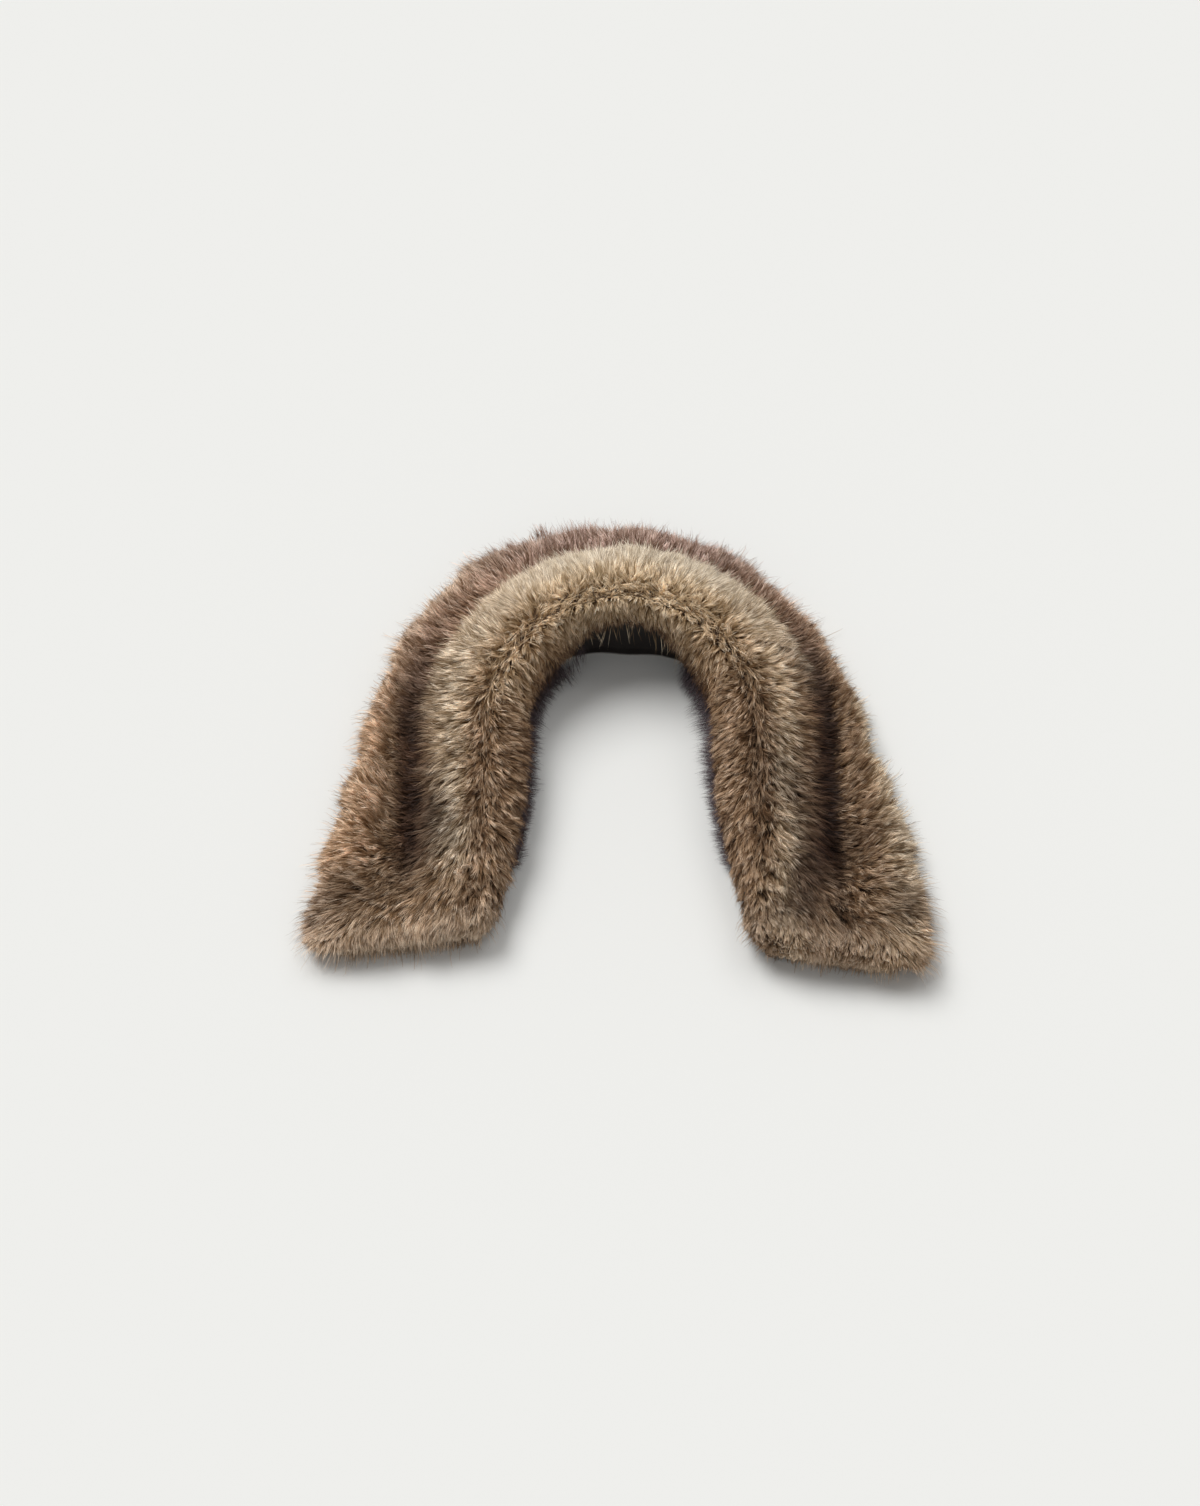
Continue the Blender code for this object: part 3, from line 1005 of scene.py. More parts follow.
@dataclass(frozen=True)
class Sowing:
    """A grid on which strands are sown, with where they start, end and stand. Lengths are millimetres."""

    form: np.ndarray
    root: np.ndarray
    tip: np.ndarray
    stand: np.ndarray
    numbers: dict[str, np.ndarray]  # what else each strand takes from the grid, by name

    def emitter(self, name: str) -> Object:
        """The grid as an object that carries, at each point, what the strands need.

        Args:
            name: The object's name.

        Returns:
            The object, not yet in the scene.
        """
        mesh = grid_mesh(name, self.form)
        directions = {"root": self.root * MM, "reach": (self.tip - self.root) * MM, "stand": self.stand}
        for sort, kind, key in ((directions, "FLOAT_VECTOR", "vector"), (self.numbers, "FLOAT", "value")):
            for label, values in sort.items():
                data = mesh.attributes.new(label, kind, "POINT").data
                data.foreach_set(key, values.astype(np.float32).ravel())
        return bpy.data.objects.new(name, mesh)


Lines = Callable[[float], tuple[np.ndarray, np.ndarray]]


def band(
    pelt: Pelt, arm: Arm, places: np.ndarray, lines: Lines, lean: tuple[float, float], across: float
) -> Sowing:
    """A narrow grid along an arm, to sow strands on that belong to no part of the pelt.

    Args:
        pelt: The pelt that it lies by.
        arm: The arm.
        places: The places along the arm of the grid's rows.
        lines: Gives, for a place, the line of the roots and the line of the tips there, as distance from
            the crest and height.
        lean: How far the strands stand outwards and up.
        across: Which line of the pelt's stripes they take their colour from, on the scale of Feature.

    Returns:
        The grid.
    """
    ends, stands = [], []
    for place in places:
        _, outward, _ = pelt.form.crest_frame(place, arm)
        ends.append([pelt.form.placed(line, place, arm) for line in lines(place)])
        stands.append(np.broadcast_to([*(lean[0] * outward), lean[1]], ends[-1][0].shape))
    root, tip = np.array(ends).transpose(1, 0, 2, 3)
    for grid in (root, tip):
        grid[:, :, :2] += pelt.shift
    tip[:, :, 2] = np.maximum(tip[:, :, 2], pelt.LOWEST_TIP)
    same = {"across": float(across), "arm_side": arm.side, "parting": 0.0, "dusk": 0.0, "gather": 1.0}
    numbers = {label: np.full(root.shape[:2], value) for label, value in same.items()}
    numbers["onward"] = np.broadcast_to(places[:, None], root.shape[:2])
    return Sowing(root, root, tip, np.array(stands), numbers)


@dataclass(frozen=True)
class Growth:
    """How one coat of strands grows. Each size is an input of the tree, in millimetres or radians."""

    LENGTHS: ClassVar[tuple[str, ...]] = ("width", "lock_size", "tuft_size", "tousle", "loft", "swirl_size")

    density: float  # strands on a square millimetre
    width: float
    shortest: float = 0.80  # the shortest and longest strand, as shares of the pile's reach
    longest: float = 1.08
    lock_size: float = 11.0
    lock_pull: float = 0.18
    tuft_size: float = 3.2
    tuft_pull: float = 0.88
    tousle: float = 4.0  # how far each tuft strays its own way
    loft: float = 1.8  # how high or low it lies
    swirl: float = 0.75
    swirl_size: float = 20.0
    scatter: float = 0.10
    lie: float = 0.5  # how soon a strand bends over, from 0 to 1
    seed: int = 1

    @staticmethod
    def label(name: str) -> str:
        """The name of the tree's input for a size."""
        return name.replace("_", " ").title()

    def inputs(self) -> dict[str, float]:
        """The sizes in metres, by the names of the tree's inputs.

        Returns:
            The sizes.
        """
        sizes = {size.name: getattr(self, size.name) for size in fields(self)}
        sizes["density"] /= MM**2
        units = {name: MM if name in self.LENGTHS else 1 for name in sizes}
        return {self.label(name): size * units[name] for name, size in sizes.items()}


class Blade:
    """A strand's flat template: a ribbon along Y, pointed at both ends, of four triangles."""

    ROWS = ((0.36, 0.50), (0.72, 0.38))  # the place along the strand, and half the width there

    def __init__(self, name: str) -> None:
        """Make the template.

        Args:
            name: The object's name.
        """
        sides, shares = [0.0], [0.0]
        for share, half in self.ROWS:
            sides += [-half, half]
            shares += [share, share]
        self.sides, self.shares = np.array([*sides, 0.0]), np.array([*shares, 1.0])
        mesh = bpy.data.meshes.new(name)
        points = [(side, share, 0.0) for side, share in zip(self.sides, self.shares)]
        mesh.from_pydata(points, [], [(0, 2, 1), (1, 2, 4, 3), (3, 4, 5)])
        for key, values in (("side_share", self.sides), ("tip_share", self.shares)):
            mesh.attributes.new(key, "FLOAT", "POINT").data.foreach_set("value", values)
        self.object = piece_of(name, mesh)


class GrowthTree:
    """The Geometry Nodes tree that grows strands on an emitter mesh.

    The emitter carries, at each point, the vectors "root" (where a strand starts), "reach" (from there to
    its tip) and "stand" (the direction out of the fur), and the numbers "parting" (how far its tuft turns)
    and "gather" (how strongly strands gather in tufts).
    """

    SWIRL_TURN = 4.0  # how far a full swirl turns a strand, for each unit of its input
    TWIST = 0.7  # how far a ribbon turns about its own length, in radians
    BREADTHS = (0.7, 1.25)  # the narrowest and broadest ribbon, as shares of the width
    LYING = 0.6  # how much of its rise a strand that lies down loses where it starts
    LOWEST, LOWEST_SPREAD = 0.0003, 0.0015  # how close to the surface a strand may come, in metres
    FAR_LOW = -9.0  # a limit for X and Y that nothing reaches, in metres
    CELL = (0.6, 0.72)  # how much of its cell's width and height a strand fills, so that cells keep apart

    def __init__(self, name: str) -> None:
        """Build the tree.

        Args:
            name: The tree's name.
        """
        self.blade = Blade("strand_template")
        self.tree = bpy.data.node_groups.new(name, "GeometryNodeTree")
        kinds = {"Emitter": "Geometry", **{Growth.label(size.name): "Float" for size in fields(Growth)}}
        kinds |= {"Seed": "Int", "Blade": "Object", "Fibre": "Material"}
        for label, kind in kinds.items():
            self.tree.interface.new_socket(label, in_out="INPUT", socket_type="NodeSocket" + kind)
        self.tree.interface.new_socket("Strands", in_out="OUTPUT", socket_type="NodeSocketGeometry")
        self.given = add(self.tree, "NodeGroupInput")
        strands = {"Geometry": self.bend(self.sow()), "Material": self.size("Fibre")}
        finished = out(add(self.tree, "GeometryNodeSetMaterial", strands))
        add(self.tree, "NodeGroupOutput", {"Strands": finished})

    def size(self, label: str) -> Term:
        """One of the tree's inputs."""
        return Term(self.given.outputs[label])

    def named(self, label: str, kind: str = "FLOAT_VECTOR") -> Term:
        """An attribute of the geometry."""
        node = add(self.tree, "GeometryNodeInputNamedAttribute", {"Name": label}, data_type=kind)
        return out(node, "Attribute")

    def number(self, label: str) -> Term:
        """A number that the geometry carries."""
        return self.named(label, "FLOAT")

    def chance(self, low: object, high: object, salt: int) -> Term:
        """A random number for each strand, its own for each salt."""
        inputs = {"Min": low, "Max": high, "Seed": self.size("Seed") + float(salt)}
        return only_out(add(self.tree, "FunctionNodeRandomValue", inputs, data_type="FLOAT"))

    def cell(self, at: Term, size: str) -> Node:
        """The cells in which strands gather, as large as a size of the tree says."""
        inputs = {"Vector": at, "Scale": 1.0 / self.size(size)}
        return add(self.tree, "ShaderNodeTexVoronoi", inputs, voronoi_dimensions="3D", feature="F1")

    def turned(self, vector: Term, axis: Term, angle: Term) -> Term:
        """A vector, turned about an axis."""
        inputs = {"Vector": vector, "Axis": axis, "Angle": angle}
        return out(add(self.tree, "ShaderNodeVectorRotate", inputs, rotation_type="AXIS_ANGLE"))

    def sow(self) -> Term:
        """Set the strands' points on the emitter, each with its own reach, bow, side and tone.

        Returns:
            The points.
        """
        sown = add(
            self.tree,
            "GeometryNodeDistributePointsOnFaces",
            {"Mesh": self.size("Emitter"), "Density": self.size("Density"), "Seed": self.size("Seed")},
            distribute_method="RANDOM",
        )
        root, reach, gather = self.named("root"), self.named("reach"), self.number("gather")
        stand = worked("NORMALIZE", self.named("stand"))
        tip = root + reach
        lock, tuft = self.cell(tip, "Lock Size"), self.cell(tip, "Tuft Size")
        white = {"Vector": out(tuft, "Position")}
        tuft_tone = out(add(self.tree, "ShaderNodeTexWhiteNoise", white, noise_dimensions="3D"), "Color")
        tuft_parts = add(self.tree, "FunctionNodeSeparateColor", {"Color": tuft_tone})
        noise = {"Vector": root, "Scale": 1.0 / self.size("Swirl Size"), "Detail": 2.0, "Roughness": 0.6}
        wave = out(add(self.tree, "ShaderNodeTexNoise", noise, noise_dimensions="3D"))
        swirl = (wave - 0.5) * (self.size("Swirl") * self.SWIRL_TURN)
        spread = self.chance(self.size("Scatter") * -1.0, self.size("Scatter"), 11)
        # At the crest, where the pile parts, each tuft turns its own way.
        own_turn = out(tuft_parts, "Green").scaled(2.0, -1.0) * self.number("parting")
        swirled = self.turned(reach, stand, swirl + spread + own_turn)
        grown = swirled * self.chance(self.size("Shortest"), self.size("Longest"), 23)
        # The tips are drawn to the middle of their lock and of their tuft. Each tuft strays its own way
        # along the fur, and stands a little proud of it or lies deeper.
        to_lock = (out(lock, "Position") - tip) * self.size("Lock Pull")
        to_tuft = (out(tuft, "Position") - tip) * (self.size("Tuft Pull") * gather)
        stray = (out(tuft, "Color") - (0.5, 0.5, 0.5)) * (self.size("Tousle") * 2.0 * gather)
        pull = to_lock + to_tuft + stray
        upward = stand * worked("DOT_PRODUCT", pull, stand)
        lift = stand * (out(tuft_parts, "Blue").scaled(2.0, -1.0) * (self.size("Loft") * gather))
        gathered = grown + (pull - upward + lift)
        rise = stand * worked("DOT_PRODUCT", grown, stand)
        lying = self.size("Lie") * self.LYING
        bow = grown * lying + rise * (1.0 - lying)
        across = worked("NORMALIZE", worked("CROSS_PRODUCT", gathered, stand))
        flat = self.turned(across, gathered, self.chance(-self.TWIST, self.TWIST, 37))
        points = out(sown, "Points")
        for label, value, kind in (
            ("strand_root", root, "FLOAT_VECTOR"),
            ("strand_bow", bow, "FLOAT_VECTOR"),
            ("strand_reach", gathered, "FLOAT_VECTOR"),
            ("strand_side", flat * (self.size("Width") * self.chance(*self.BREADTHS, 41)), "FLOAT_VECTOR"),
            ("tone", self.chance(0.0, 1.0, 53), "FLOAT"),
            ("lock_tone", out(lock, "Color"), "FLOAT_VECTOR"),
            ("tuft_tone", tuft_tone, "FLOAT_VECTOR"),
        ):
            kept = {"Geometry": points, "Name": label, "Value": value}
            store = add(self.tree, "GeometryNodeStoreNamedAttribute", kept, data_type=kind, domain="POINT")
            points = out(store)
        return points

    def bend(self, points: Term) -> Term:
        """Set a blade on each point, make them real and bend each along its curve.

        Args:
            points: The strands' points.

        Returns:
            The strands.
        """
        blade = out(add(self.tree, "GeometryNodeObjectInfo", {"Object": self.size("Blade")}), "Geometry")
        copies = out(add(self.tree, "GeometryNodeInstanceOnPoints", {"Points": points, "Instance": blade}))
        real = out(add(self.tree, "GeometryNodeRealizeInstances", {"Geometry": copies}))
        share = self.number("tip_share")
        bow = self.named("strand_bow") * (share * (1.0 - share) * 2.0)
        reach = self.named("strand_reach") * (share * share)
        line = self.named("strand_root") + (bow + reach)
        at = line + self.named("strand_side") * self.number("side_share")
        height = self.number("tone").scaled(self.LOWEST_SPREAD, self.LOWEST)
        floor = add(self.tree, "ShaderNodeCombineXYZ", {"X": self.FAR_LOW, "Y": self.FAR_LOW, "Z": height})
        lifted = {"Geometry": real, "Position": worked("MAXIMUM", at, out(floor))}
        return out(add(self.tree, "GeometryNodeSetPosition", lifted))

    def grow(self, name: str, sowing: Sowing, growth: Growth, fibre: Material) -> Object:
        """Grow a coat and keep it as a plain mesh.

        Args:
            name: The coat's name.
            sowing: The grid that the strands stand on.
            growth: The coat's sizes.
            fibre: The strands' finish.

        Returns:
            The coat.
        """
        values = {**growth.inputs(), "Blade": self.blade.object, "Fibre": fibre}
        emitter = sowing.emitter(name)
        modifier = emitter.modifiers.new("growth", "NODES")
        modifier.node_group = self.tree
        for item in self.tree.interface.items_tree:
            if item.in_out == "INPUT" and item.name in values:
                modifier[item.identifier] = values[item.name]
        bpy.context.scene.collection.objects.link(emitter)
        graph = bpy.context.evaluated_depsgraph_get()
        grown = emitter.evaluated_get(graph)
        mesh = bpy.data.meshes.new_from_object(grown, preserve_all_data_layers=True, depsgraph=graph)
        bpy.data.objects.remove(emitter)
        mesh.name = name
        self.lay_out(mesh)
        return piece_of(name, mesh)

    def lay_out(self, mesh: Mesh) -> None:
        """Give each strand a cell of its own on the colour map, root to tip from bottom to top.

        Args:
            mesh: The strands.
        """
        points = len(self.blade.sides)
        cells = max(math.ceil(math.sqrt(len(mesh.vertices) // points)), 1)
        corners = np.empty(len(mesh.loops), dtype=np.int32)
        mesh.loops.foreach_get("vertex_index", corners)
        strand, point = np.divmod(corners, points)
        column, row = strand % cells, strand // cells
        width, height = self.CELL
        aside = column + 0.5 + width * self.blade.sides[point]
        upward = row + 0.5 * (1.0 - height) + height * self.blade.shares[point]
        layer = mesh.uv_layers.get("OFBake") or mesh.uv_layers.new(name="OFBake", do_init=False)
        places = np.column_stack([aside, upward]) / cells
        layer.uv.foreach_set("vector", places.astype(np.float32).ravel())


# ---------------------------------------------------------------- finishes


# The colours of the striped pile: each at its line across the collar, on the scale of Feature.
NECK_STRIPES = (
    (-1.2, Hue.UMBER), (-0.75, Hue.DEEP_BROWN), (-0.45, Hue.GOLD_TAN), (-0.08, Hue.PALE_GOLD),
    (0.30, Hue.PALE_GOLD), (0.50, Hue.CREAM), (1.22, Hue.CREAM), (1.34, Hue.MAUVE), (4.20, Hue.MAUVE),
)
SHOULDER_STRIPES = (
    (-1.2, Hue.UMBER), (-0.75, Hue.UMBER), (-0.45, Hue.GOLD_BROWN), (-0.08, Hue.GOLD_TAN),
    (0.20, Hue.GOLD_TAN), (0.50, Hue.SAND), (0.98, Hue.SAND), (1.22, Hue.TAN),
    (1.45, Hue.ROSE_BROWN), (2.20, Hue.ROSE_BROWN), (2.90, Hue.ROSE_TAN), (4.20, Hue.ROSE_TAN),
)
LEFT_STRIPES = (
    (-1.2, Hue.UMBER), (-0.90, Hue.UMBER), (-0.45, Hue.DEEP_BROWN), (-0.15, Hue.BROWN),
    (0.10, Hue.BROWN), (0.28, Hue.TAN), (0.48, Hue.SAND), (0.76, Hue.TAN),
    (1.02, Hue.DEEP_BROWN), (1.22, Hue.UMBER), (1.50, Hue.BARK), (1.90, Hue.UMBER),
    (2.30, Hue.BROWN), (2.70, Hue.WARM_TAN), (4.20, Hue.WARM_TAN),
)
RIGHT_STRIPES = (
    (-1.2, Hue.UMBER), (-0.90, Hue.UMBER), (-0.45, Hue.BROWN), (-0.20, Hue.BROWN),
    (0.08, Hue.DEEP_BROWN), (0.30, Hue.TAN), (0.52, Hue.TAN), (0.80, Hue.BROWN),
    (1.00, Hue.UMBER), (1.18, Hue.BARK), (1.70, Hue.BARK), (2.05, Hue.BROWN),
    (2.70, Hue.BROWN), (3.10, Hue.TAN), (3.60, Hue.SAND), (4.20, Hue.SAND),
)
LEFT_END_STRIPES = (
    (-1.2, Hue.BROWN), (-0.2, Hue.BROWN), (0.6, Hue.WARM_BROWN), (2.8, Hue.WARM_BROWN), (4.2, Hue.ROSE_TAN),
)
RIGHT_END_STRIPES = (
    (-1.2, Hue.BROWN), (-0.2, Hue.BROWN), (0.3, Hue.TAN), (0.9, Hue.BROWN), (2.4, Hue.BROWN),
    (3.4, Hue.TAN), (4.2, Hue.ROSE_TAN),
)


def carried(tree: NodeTree, label: str, key: str = "Fac") -> Term:
    """A number, or as "Color" a colour, that each strand carries."""
    return out(add(tree, "ShaderNodeAttribute", attribute_name=label), key)


def place_on_piece(tree: NodeTree) -> Term:
    """The place on the piece, in metres."""
    return out(add(tree, "ShaderNodeTexCoord"), "Object")


def waves(tree: NodeTree, along: str, spacing: float, distortion: float, detail: float = 0.0) -> Term:
    """Ridges across one direction of the piece.

    Args:
        tree: The node tree.
        along: The direction, "X", "Y" or "Z".
        spacing: The distance from ridge to ridge, in millimetres.
        distortion: How much they bend.
        detail: How many finer bends they have.

    Returns:
        The ridges' height, from 0 to 1.
    """
    # A band's phase is 20 times its place, so a ridge comes every 2 pi / 20 at a scale of 1.
    scale = 2 * math.pi / (20.0 * spacing * MM)
    inputs = {"Vector": place_on_piece(tree), "Scale": scale, "Distortion": distortion, "Detail": detail}
    return out(add(tree, "ShaderNodeTexWave", inputs, bands_direction=along), "Fac")


def grain(tree: NodeTree, size: float) -> Term:
    """Soft spots of a size in millimetres, from 0 to 1."""
    inputs = {"Vector": place_on_piece(tree), "Scale": 1.0 / (size * MM), "Detail": 3.0}
    return out(add(tree, "ShaderNodeTexNoise", inputs))


def grey(shade: Term, green: Optional[Term] = None, blue: Optional[Term] = None) -> Term:
    """A shade as a colour, with a green and a blue of its own where they are given."""
    inputs = {"Red": shade, "Green": green or shade, "Blue": blue or shade}
    return out(add(shade.tree, "ShaderNodeCombineColor", inputs))


@dataclass(frozen=True)
class Finish:
    """What the collar's materials share: a name, a roughness and other values that are even all over."""

    EVEN: ClassVar[dict[str, float]] = {}

    name: str
    roughness: float

    def make(self) -> Material:
        """Build the material.

        Returns:
            The material.
        """
        material = bpy.data.materials.new(self.name)
        material.use_nodes = True
        shader = material.node_tree.nodes["Principled BSDF"]
        for name, value in {**self.EVEN, "Roughness": self.roughness}.items():
            shader.inputs[name].default_value = value
        colour = self.colour(material.node_tree, shader)
        material.node_tree.links.new(colour.socket, shader.inputs["Base Color"])
        return material

    def colour(self, tree: NodeTree, shader: Node) -> Term:
        """Build the material's colour, and its relief where it has one.

        Args:
            tree: The material's nodes.
            shader: Its shader.

        Returns:
            The colour.
        """
        raise NotImplementedError

    @staticmethod
    def raised(shader: Node, height: Term, deep: float) -> None:
        """Give a shader a relief, whose height goes from 0 to 1, so many millimetres deep."""
        inputs = {"Height": height, "Strength": 0.6, "Distance": deep * MM}
        relief = out(add(height.tree, "ShaderNodeBump", inputs))
        height.tree.links.new(relief.socket, shader.inputs["Normal"])


@dataclass(frozen=True)
class PileFinish(Finish):
    """Modacrylic faux fur: fine crimped fibres, dark at the root, partly as their own colour and partly as
    painted shade deep in the pile, and streaked, with a dull silky gloss.

    The stripes lie across the collar and change along it. A lock of some 15 mm has its own shade, a tuft of
    some 4 mm another, and each strand its own.
    """

    EVEN = {"Specular IOR Level": 0.22, "Sheen Weight": 0.05}
    TO_SHOULDER = (0.18, 0.60)  # from and to which place the back's colours become the shoulder's
    TO_ARM = (0.55, 0.99)  # the arm's
    TO_END = (1.58, 1.92)  # the end's
    TO_RIM = (1.94, 2.10)  # and the painted light of the rim at the very end
    SIDE_LAGS = (-0.02, 0.08)  # how much sooner the shoulder's and the arm's colours come on the right

    name: str = "modacrylic_faux_fur"
    roughness: float = 0.55
    dark_tips: float = 0.25  # the share of the tufts whose tips are dark
    pale_tips: float = 0.65  # how pale the other tips get
    stray: float = 0.16  # how far a stripe's edge is blurred, on the scale of Feature
    lock_contrast: float = 0.42
    tuft_contrast: float = 1.45
    strand_contrast: float = 0.95

    def stripes(self, tree: NodeTree, across: Term, to_arm: Term) -> Term:
        """The pile's colours by their place: the back, the shoulders, the two arms and their ends.

        Args:
            tree: The material's nodes.
            across: The strand's line across the collar, on the scale of Feature.
            to_arm: How far the colours have changed to the arm's.

        Returns:
            The colour.
        """
        onward, side = carried(tree, "onward"), carried(tree, "arm_side")
        is_right = worked("GREATER_THAN", side, 0.0)
        to_shoulder = side.scaled(self.SIDE_LAGS[0], onward).between(*self.TO_SHOULDER, smooth=True)
        neck = mixed(to_shoulder, striped(across, NECK_STRIPES), striped(across, SHOULDER_STRIPES))
        arm = mixed(is_right, striped(across, LEFT_STRIPES), striped(across, RIGHT_STRIPES))
        end = mixed(is_right, striped(across, LEFT_END_STRIPES), striped(across, RIGHT_END_STRIPES))
        stripes = mixed(onward.between(*self.TO_END, smooth=True), mixed(to_arm, neck, arm), end)
        # Painted light: the ends' rims are lightened, as if lit through from behind, half as much on the
        # right.
        at_rim = onward.between(*self.TO_RIM, last=0.85) * is_right.scaled(-0.5, 1.0)
        stripes = mixed(at_rim, stripes, linear(Hue.PALE_TAN))
        # Painted shade: in the patches the stripes are mixed towards dark bark brown.
        return mixed(carried(tree, "dusk"), stripes, linear(Hue.BARK))

    def shade(self, tree: NodeTree, lock: Term, tuft: Term, tone: Term, share: Term) -> Term:
        """How light a strand is at a place along it.

        Args:
            tree: The material's nodes.
            lock: The lock's chance number.
            tuft: The tuft's.
            tone: The strand's.
            share: The place along the strand, from 0 at its root to 1 at its tip.

        Returns:
            The shade.
        """
        gather = carried(tree, "gather")
        by_lock = ((lock - 0.5) * self.lock_contrast).scaled(gather, 0.99)
        by_tuft = ((tuft - 0.5) * self.tuft_contrast).scaled(gather, 1.0)
        by_strand = ((worked("POWER", tone, 0.7) - 0.6) * self.strand_contrast).scaled(gather, 0.97)
        # The roots are darker, partly their own colour and partly painted shade deep in the pile: darkest
        # where tufts part, and paler on the back's smooth band and along its crest.
        turned = worked("MAXIMUM", carried(tree, "parting") - 0.65, 0.0)
        at_root = turned.scaled(0.17, gather.scaled(-0.35, 0.65))
        return by_lock * by_tuft * by_strand * share.between(0.05, 0.82, at_root, 1.10, smooth=True)

    def colour(self, tree: NodeTree, shader: Node) -> Term:
        """The stripes with their shades, their pale tips and the tufts of dark-tipped guard hairs.

        Args:
            tree: The material's nodes.
            shader: Its shader, not used here.

        Returns:
            The colour.
        """
        across, tone, share = (carried(tree, label) for label in ("across", "tone", "tip_share"))
        lock, tuft = (
            add(tree, "ShaderNodeSeparateColor", {"Color": carried(tree, label, "Color")})
            for label in ("lock_tone", "tuft_tone")
        )
        begun = carried(tree, "arm_side").scaled(self.SIDE_LAGS[1], carried(tree, "onward"))
        to_arm = begun.between(*self.TO_ARM, smooth=True)
        stripes = self.stripes(tree, (tone - 0.5).scaled(self.stray, across), to_arm)
        shade = self.shade(tree, out(lock, "Red"), out(tuft, "Red"), tone, share)
        # The fibre's brown deepens where less light comes back out of it.
        deep = worked("MINIMUM", shade, 1.0)
        green = worked("POWER", shade, 1.08) * worked("POWER", deep, 0.13)
        blue = worked("POWER", shade, 1.20) * worked("POWER", deep, 0.36)
        shades = grey(shade, green, blue)
        lightness = out(add(tree, "ShaderNodeRGBToBW", {"Color": stripes}))
        pale = share.between(0.45, 0.90, last=self.pale_tips) * out(tuft, "Red")
        pale = pale * worked("MINIMUM", lightness * 2.0, 1.0)
        tip_light = mixed(1.0, linear(Hue.PALE_TIP), shades, "MULTIPLY")
        colour = mixed(pale, mixed(1.0, stripes, shades, "MULTIPLY"), tip_light)
        is_dark = worked("LESS_THAN", out(tuft, "Green"), self.dark_tips)
        at_rim = across.between(1.2, 1.6) * (1.0 - to_arm)
        tip_hue = mixed(at_rim, linear(Hue.UMBER), linear(Hue.PLUM))
        return mixed(share.between(0.68, 1.0, smooth=True) * is_dark, colour, tip_hue)


@dataclass(frozen=True)
class FringeFinish(Finish):
    """The stand's short modacrylic pile: dark mauve-brown, partly its own colour and partly painted shade,
    as it lies in shadow under the roll, with cooler tips that let light through.
    """

    EVEN = {"Specular IOR Level": 0.3, "Sheen Weight": 0.1}

    name: str = "dark_modacrylic_pile"
    roughness: float = 0.6

    def colour(self, tree: NodeTree, shader: Node) -> Term:
        """The dark pile, partly painted shade, each strand in its own tone."""
        at_tip = carried(tree, "tip_share").between(0.35, 1.0)
        base = mixed(at_tip, linear(Hue.DARK_MAUVE), linear(Hue.FRINGE_TIP))
        return mixed(1.0, base, grey(carried(tree, "tone").scaled(0.8, 0.6)), "MULTIPLY")


@dataclass(frozen=True)
class SatinFinish(Finish):
    """Polyester satin: floats of 0.35 mm on a finer weave, with a low gloss along the weft."""

    EVEN = {"Anisotropic": 0.5, "Sheen Weight": 0.08, "Sheen Roughness": 0.4, "Specular IOR Level": 0.22}

    name: str = "polyester_satin"
    roughness: float = 0.34
    float_spacing: float = 0.35  # coarser than the real floats, which are too fine to show
    float_depth: float = 0.03
    mottle_size: float = 9.0
    edge_height: float = 2.2  # how high the hem's turned edge catches the light

    def colour(self, tree: NodeTree, shader: Node) -> Term:
        """The black weave, with a painted highlight where the light catches the fold at the foot of the hem.
        """
        weave = waves(tree, "Z", self.float_spacing, distortion=0.6)
        self.raised(shader, weave, self.float_depth)
        share = weave.scaled(0.25, grain(tree, self.mottle_size) * 0.6)
        colour = mixed(share, linear(Hue.SATIN_BLACK), linear(Hue.SATIN_BROWN))
        height = out(add(tree, "ShaderNodeSeparateXYZ", {"Vector": place_on_piece(tree)}), "Z")
        # Painted highlight: a pale grey line along the foot of the hem.
        at_edge = height.between(self.edge_height * MM, 0.5 * self.edge_height * MM)
        return mixed(at_edge, colour, linear(Hue.HEM_GREY))


@dataclass(frozen=True)
class KnitFinish(Finish):
    """Knitted polyester backing: rows of loops 1.1 mm apart, 0.15 mm deep, matt and slightly fuzzy."""

    EVEN = {"Sheen Weight": 0.2, "Specular IOR Level": 0.2}

    name: str = "knitted_polyester_backing"
    roughness: float = 0.9
    loop_spacing: float = 1.1
    loop_depth: float = 0.15
    mottle_size: float = 14.0

    def colour(self, tree: NodeTree, shader: Node) -> Term:
        """The loops, where the wales cross the courses, on a mottled ground."""
        wales = waves(tree, "X", self.loop_spacing, distortion=1.0, detail=1.0)
        courses = waves(tree, "Y", self.loop_spacing, distortion=1.0, detail=1.0)
        loops = wales * courses
        self.raised(shader, loops, self.loop_depth)
        share = grain(tree, self.mottle_size).scaled(0.4, loops * 0.5)
        return mixed(share, linear(Hue.KNIT_BROWN), linear(Hue.KNIT_LIGHT))


@dataclass(frozen=True)
class PaperFinish(Finish):
    """Matt white backdrop paper with a grain of 0.8 mm."""

    EVEN = {"Specular IOR Level": 0.1}

    name: str = "matt_white_paper"
    roughness: float = 0.92
    grain_size: float = 0.8
    grain_depth: float = 0.01

    def colour(self, tree: NodeTree, shader: Node) -> Term:
        """The paper's white, a little greyer on its fibres."""
        fibres = grain(tree, self.grain_size)
        self.raised(shader, fibres, self.grain_depth)
        return mixed(fibres * 0.3, linear(Hue.FLOOR), linear(Hue.FLOOR_SHADE))


# ---------------------------------------------------------------- pieces


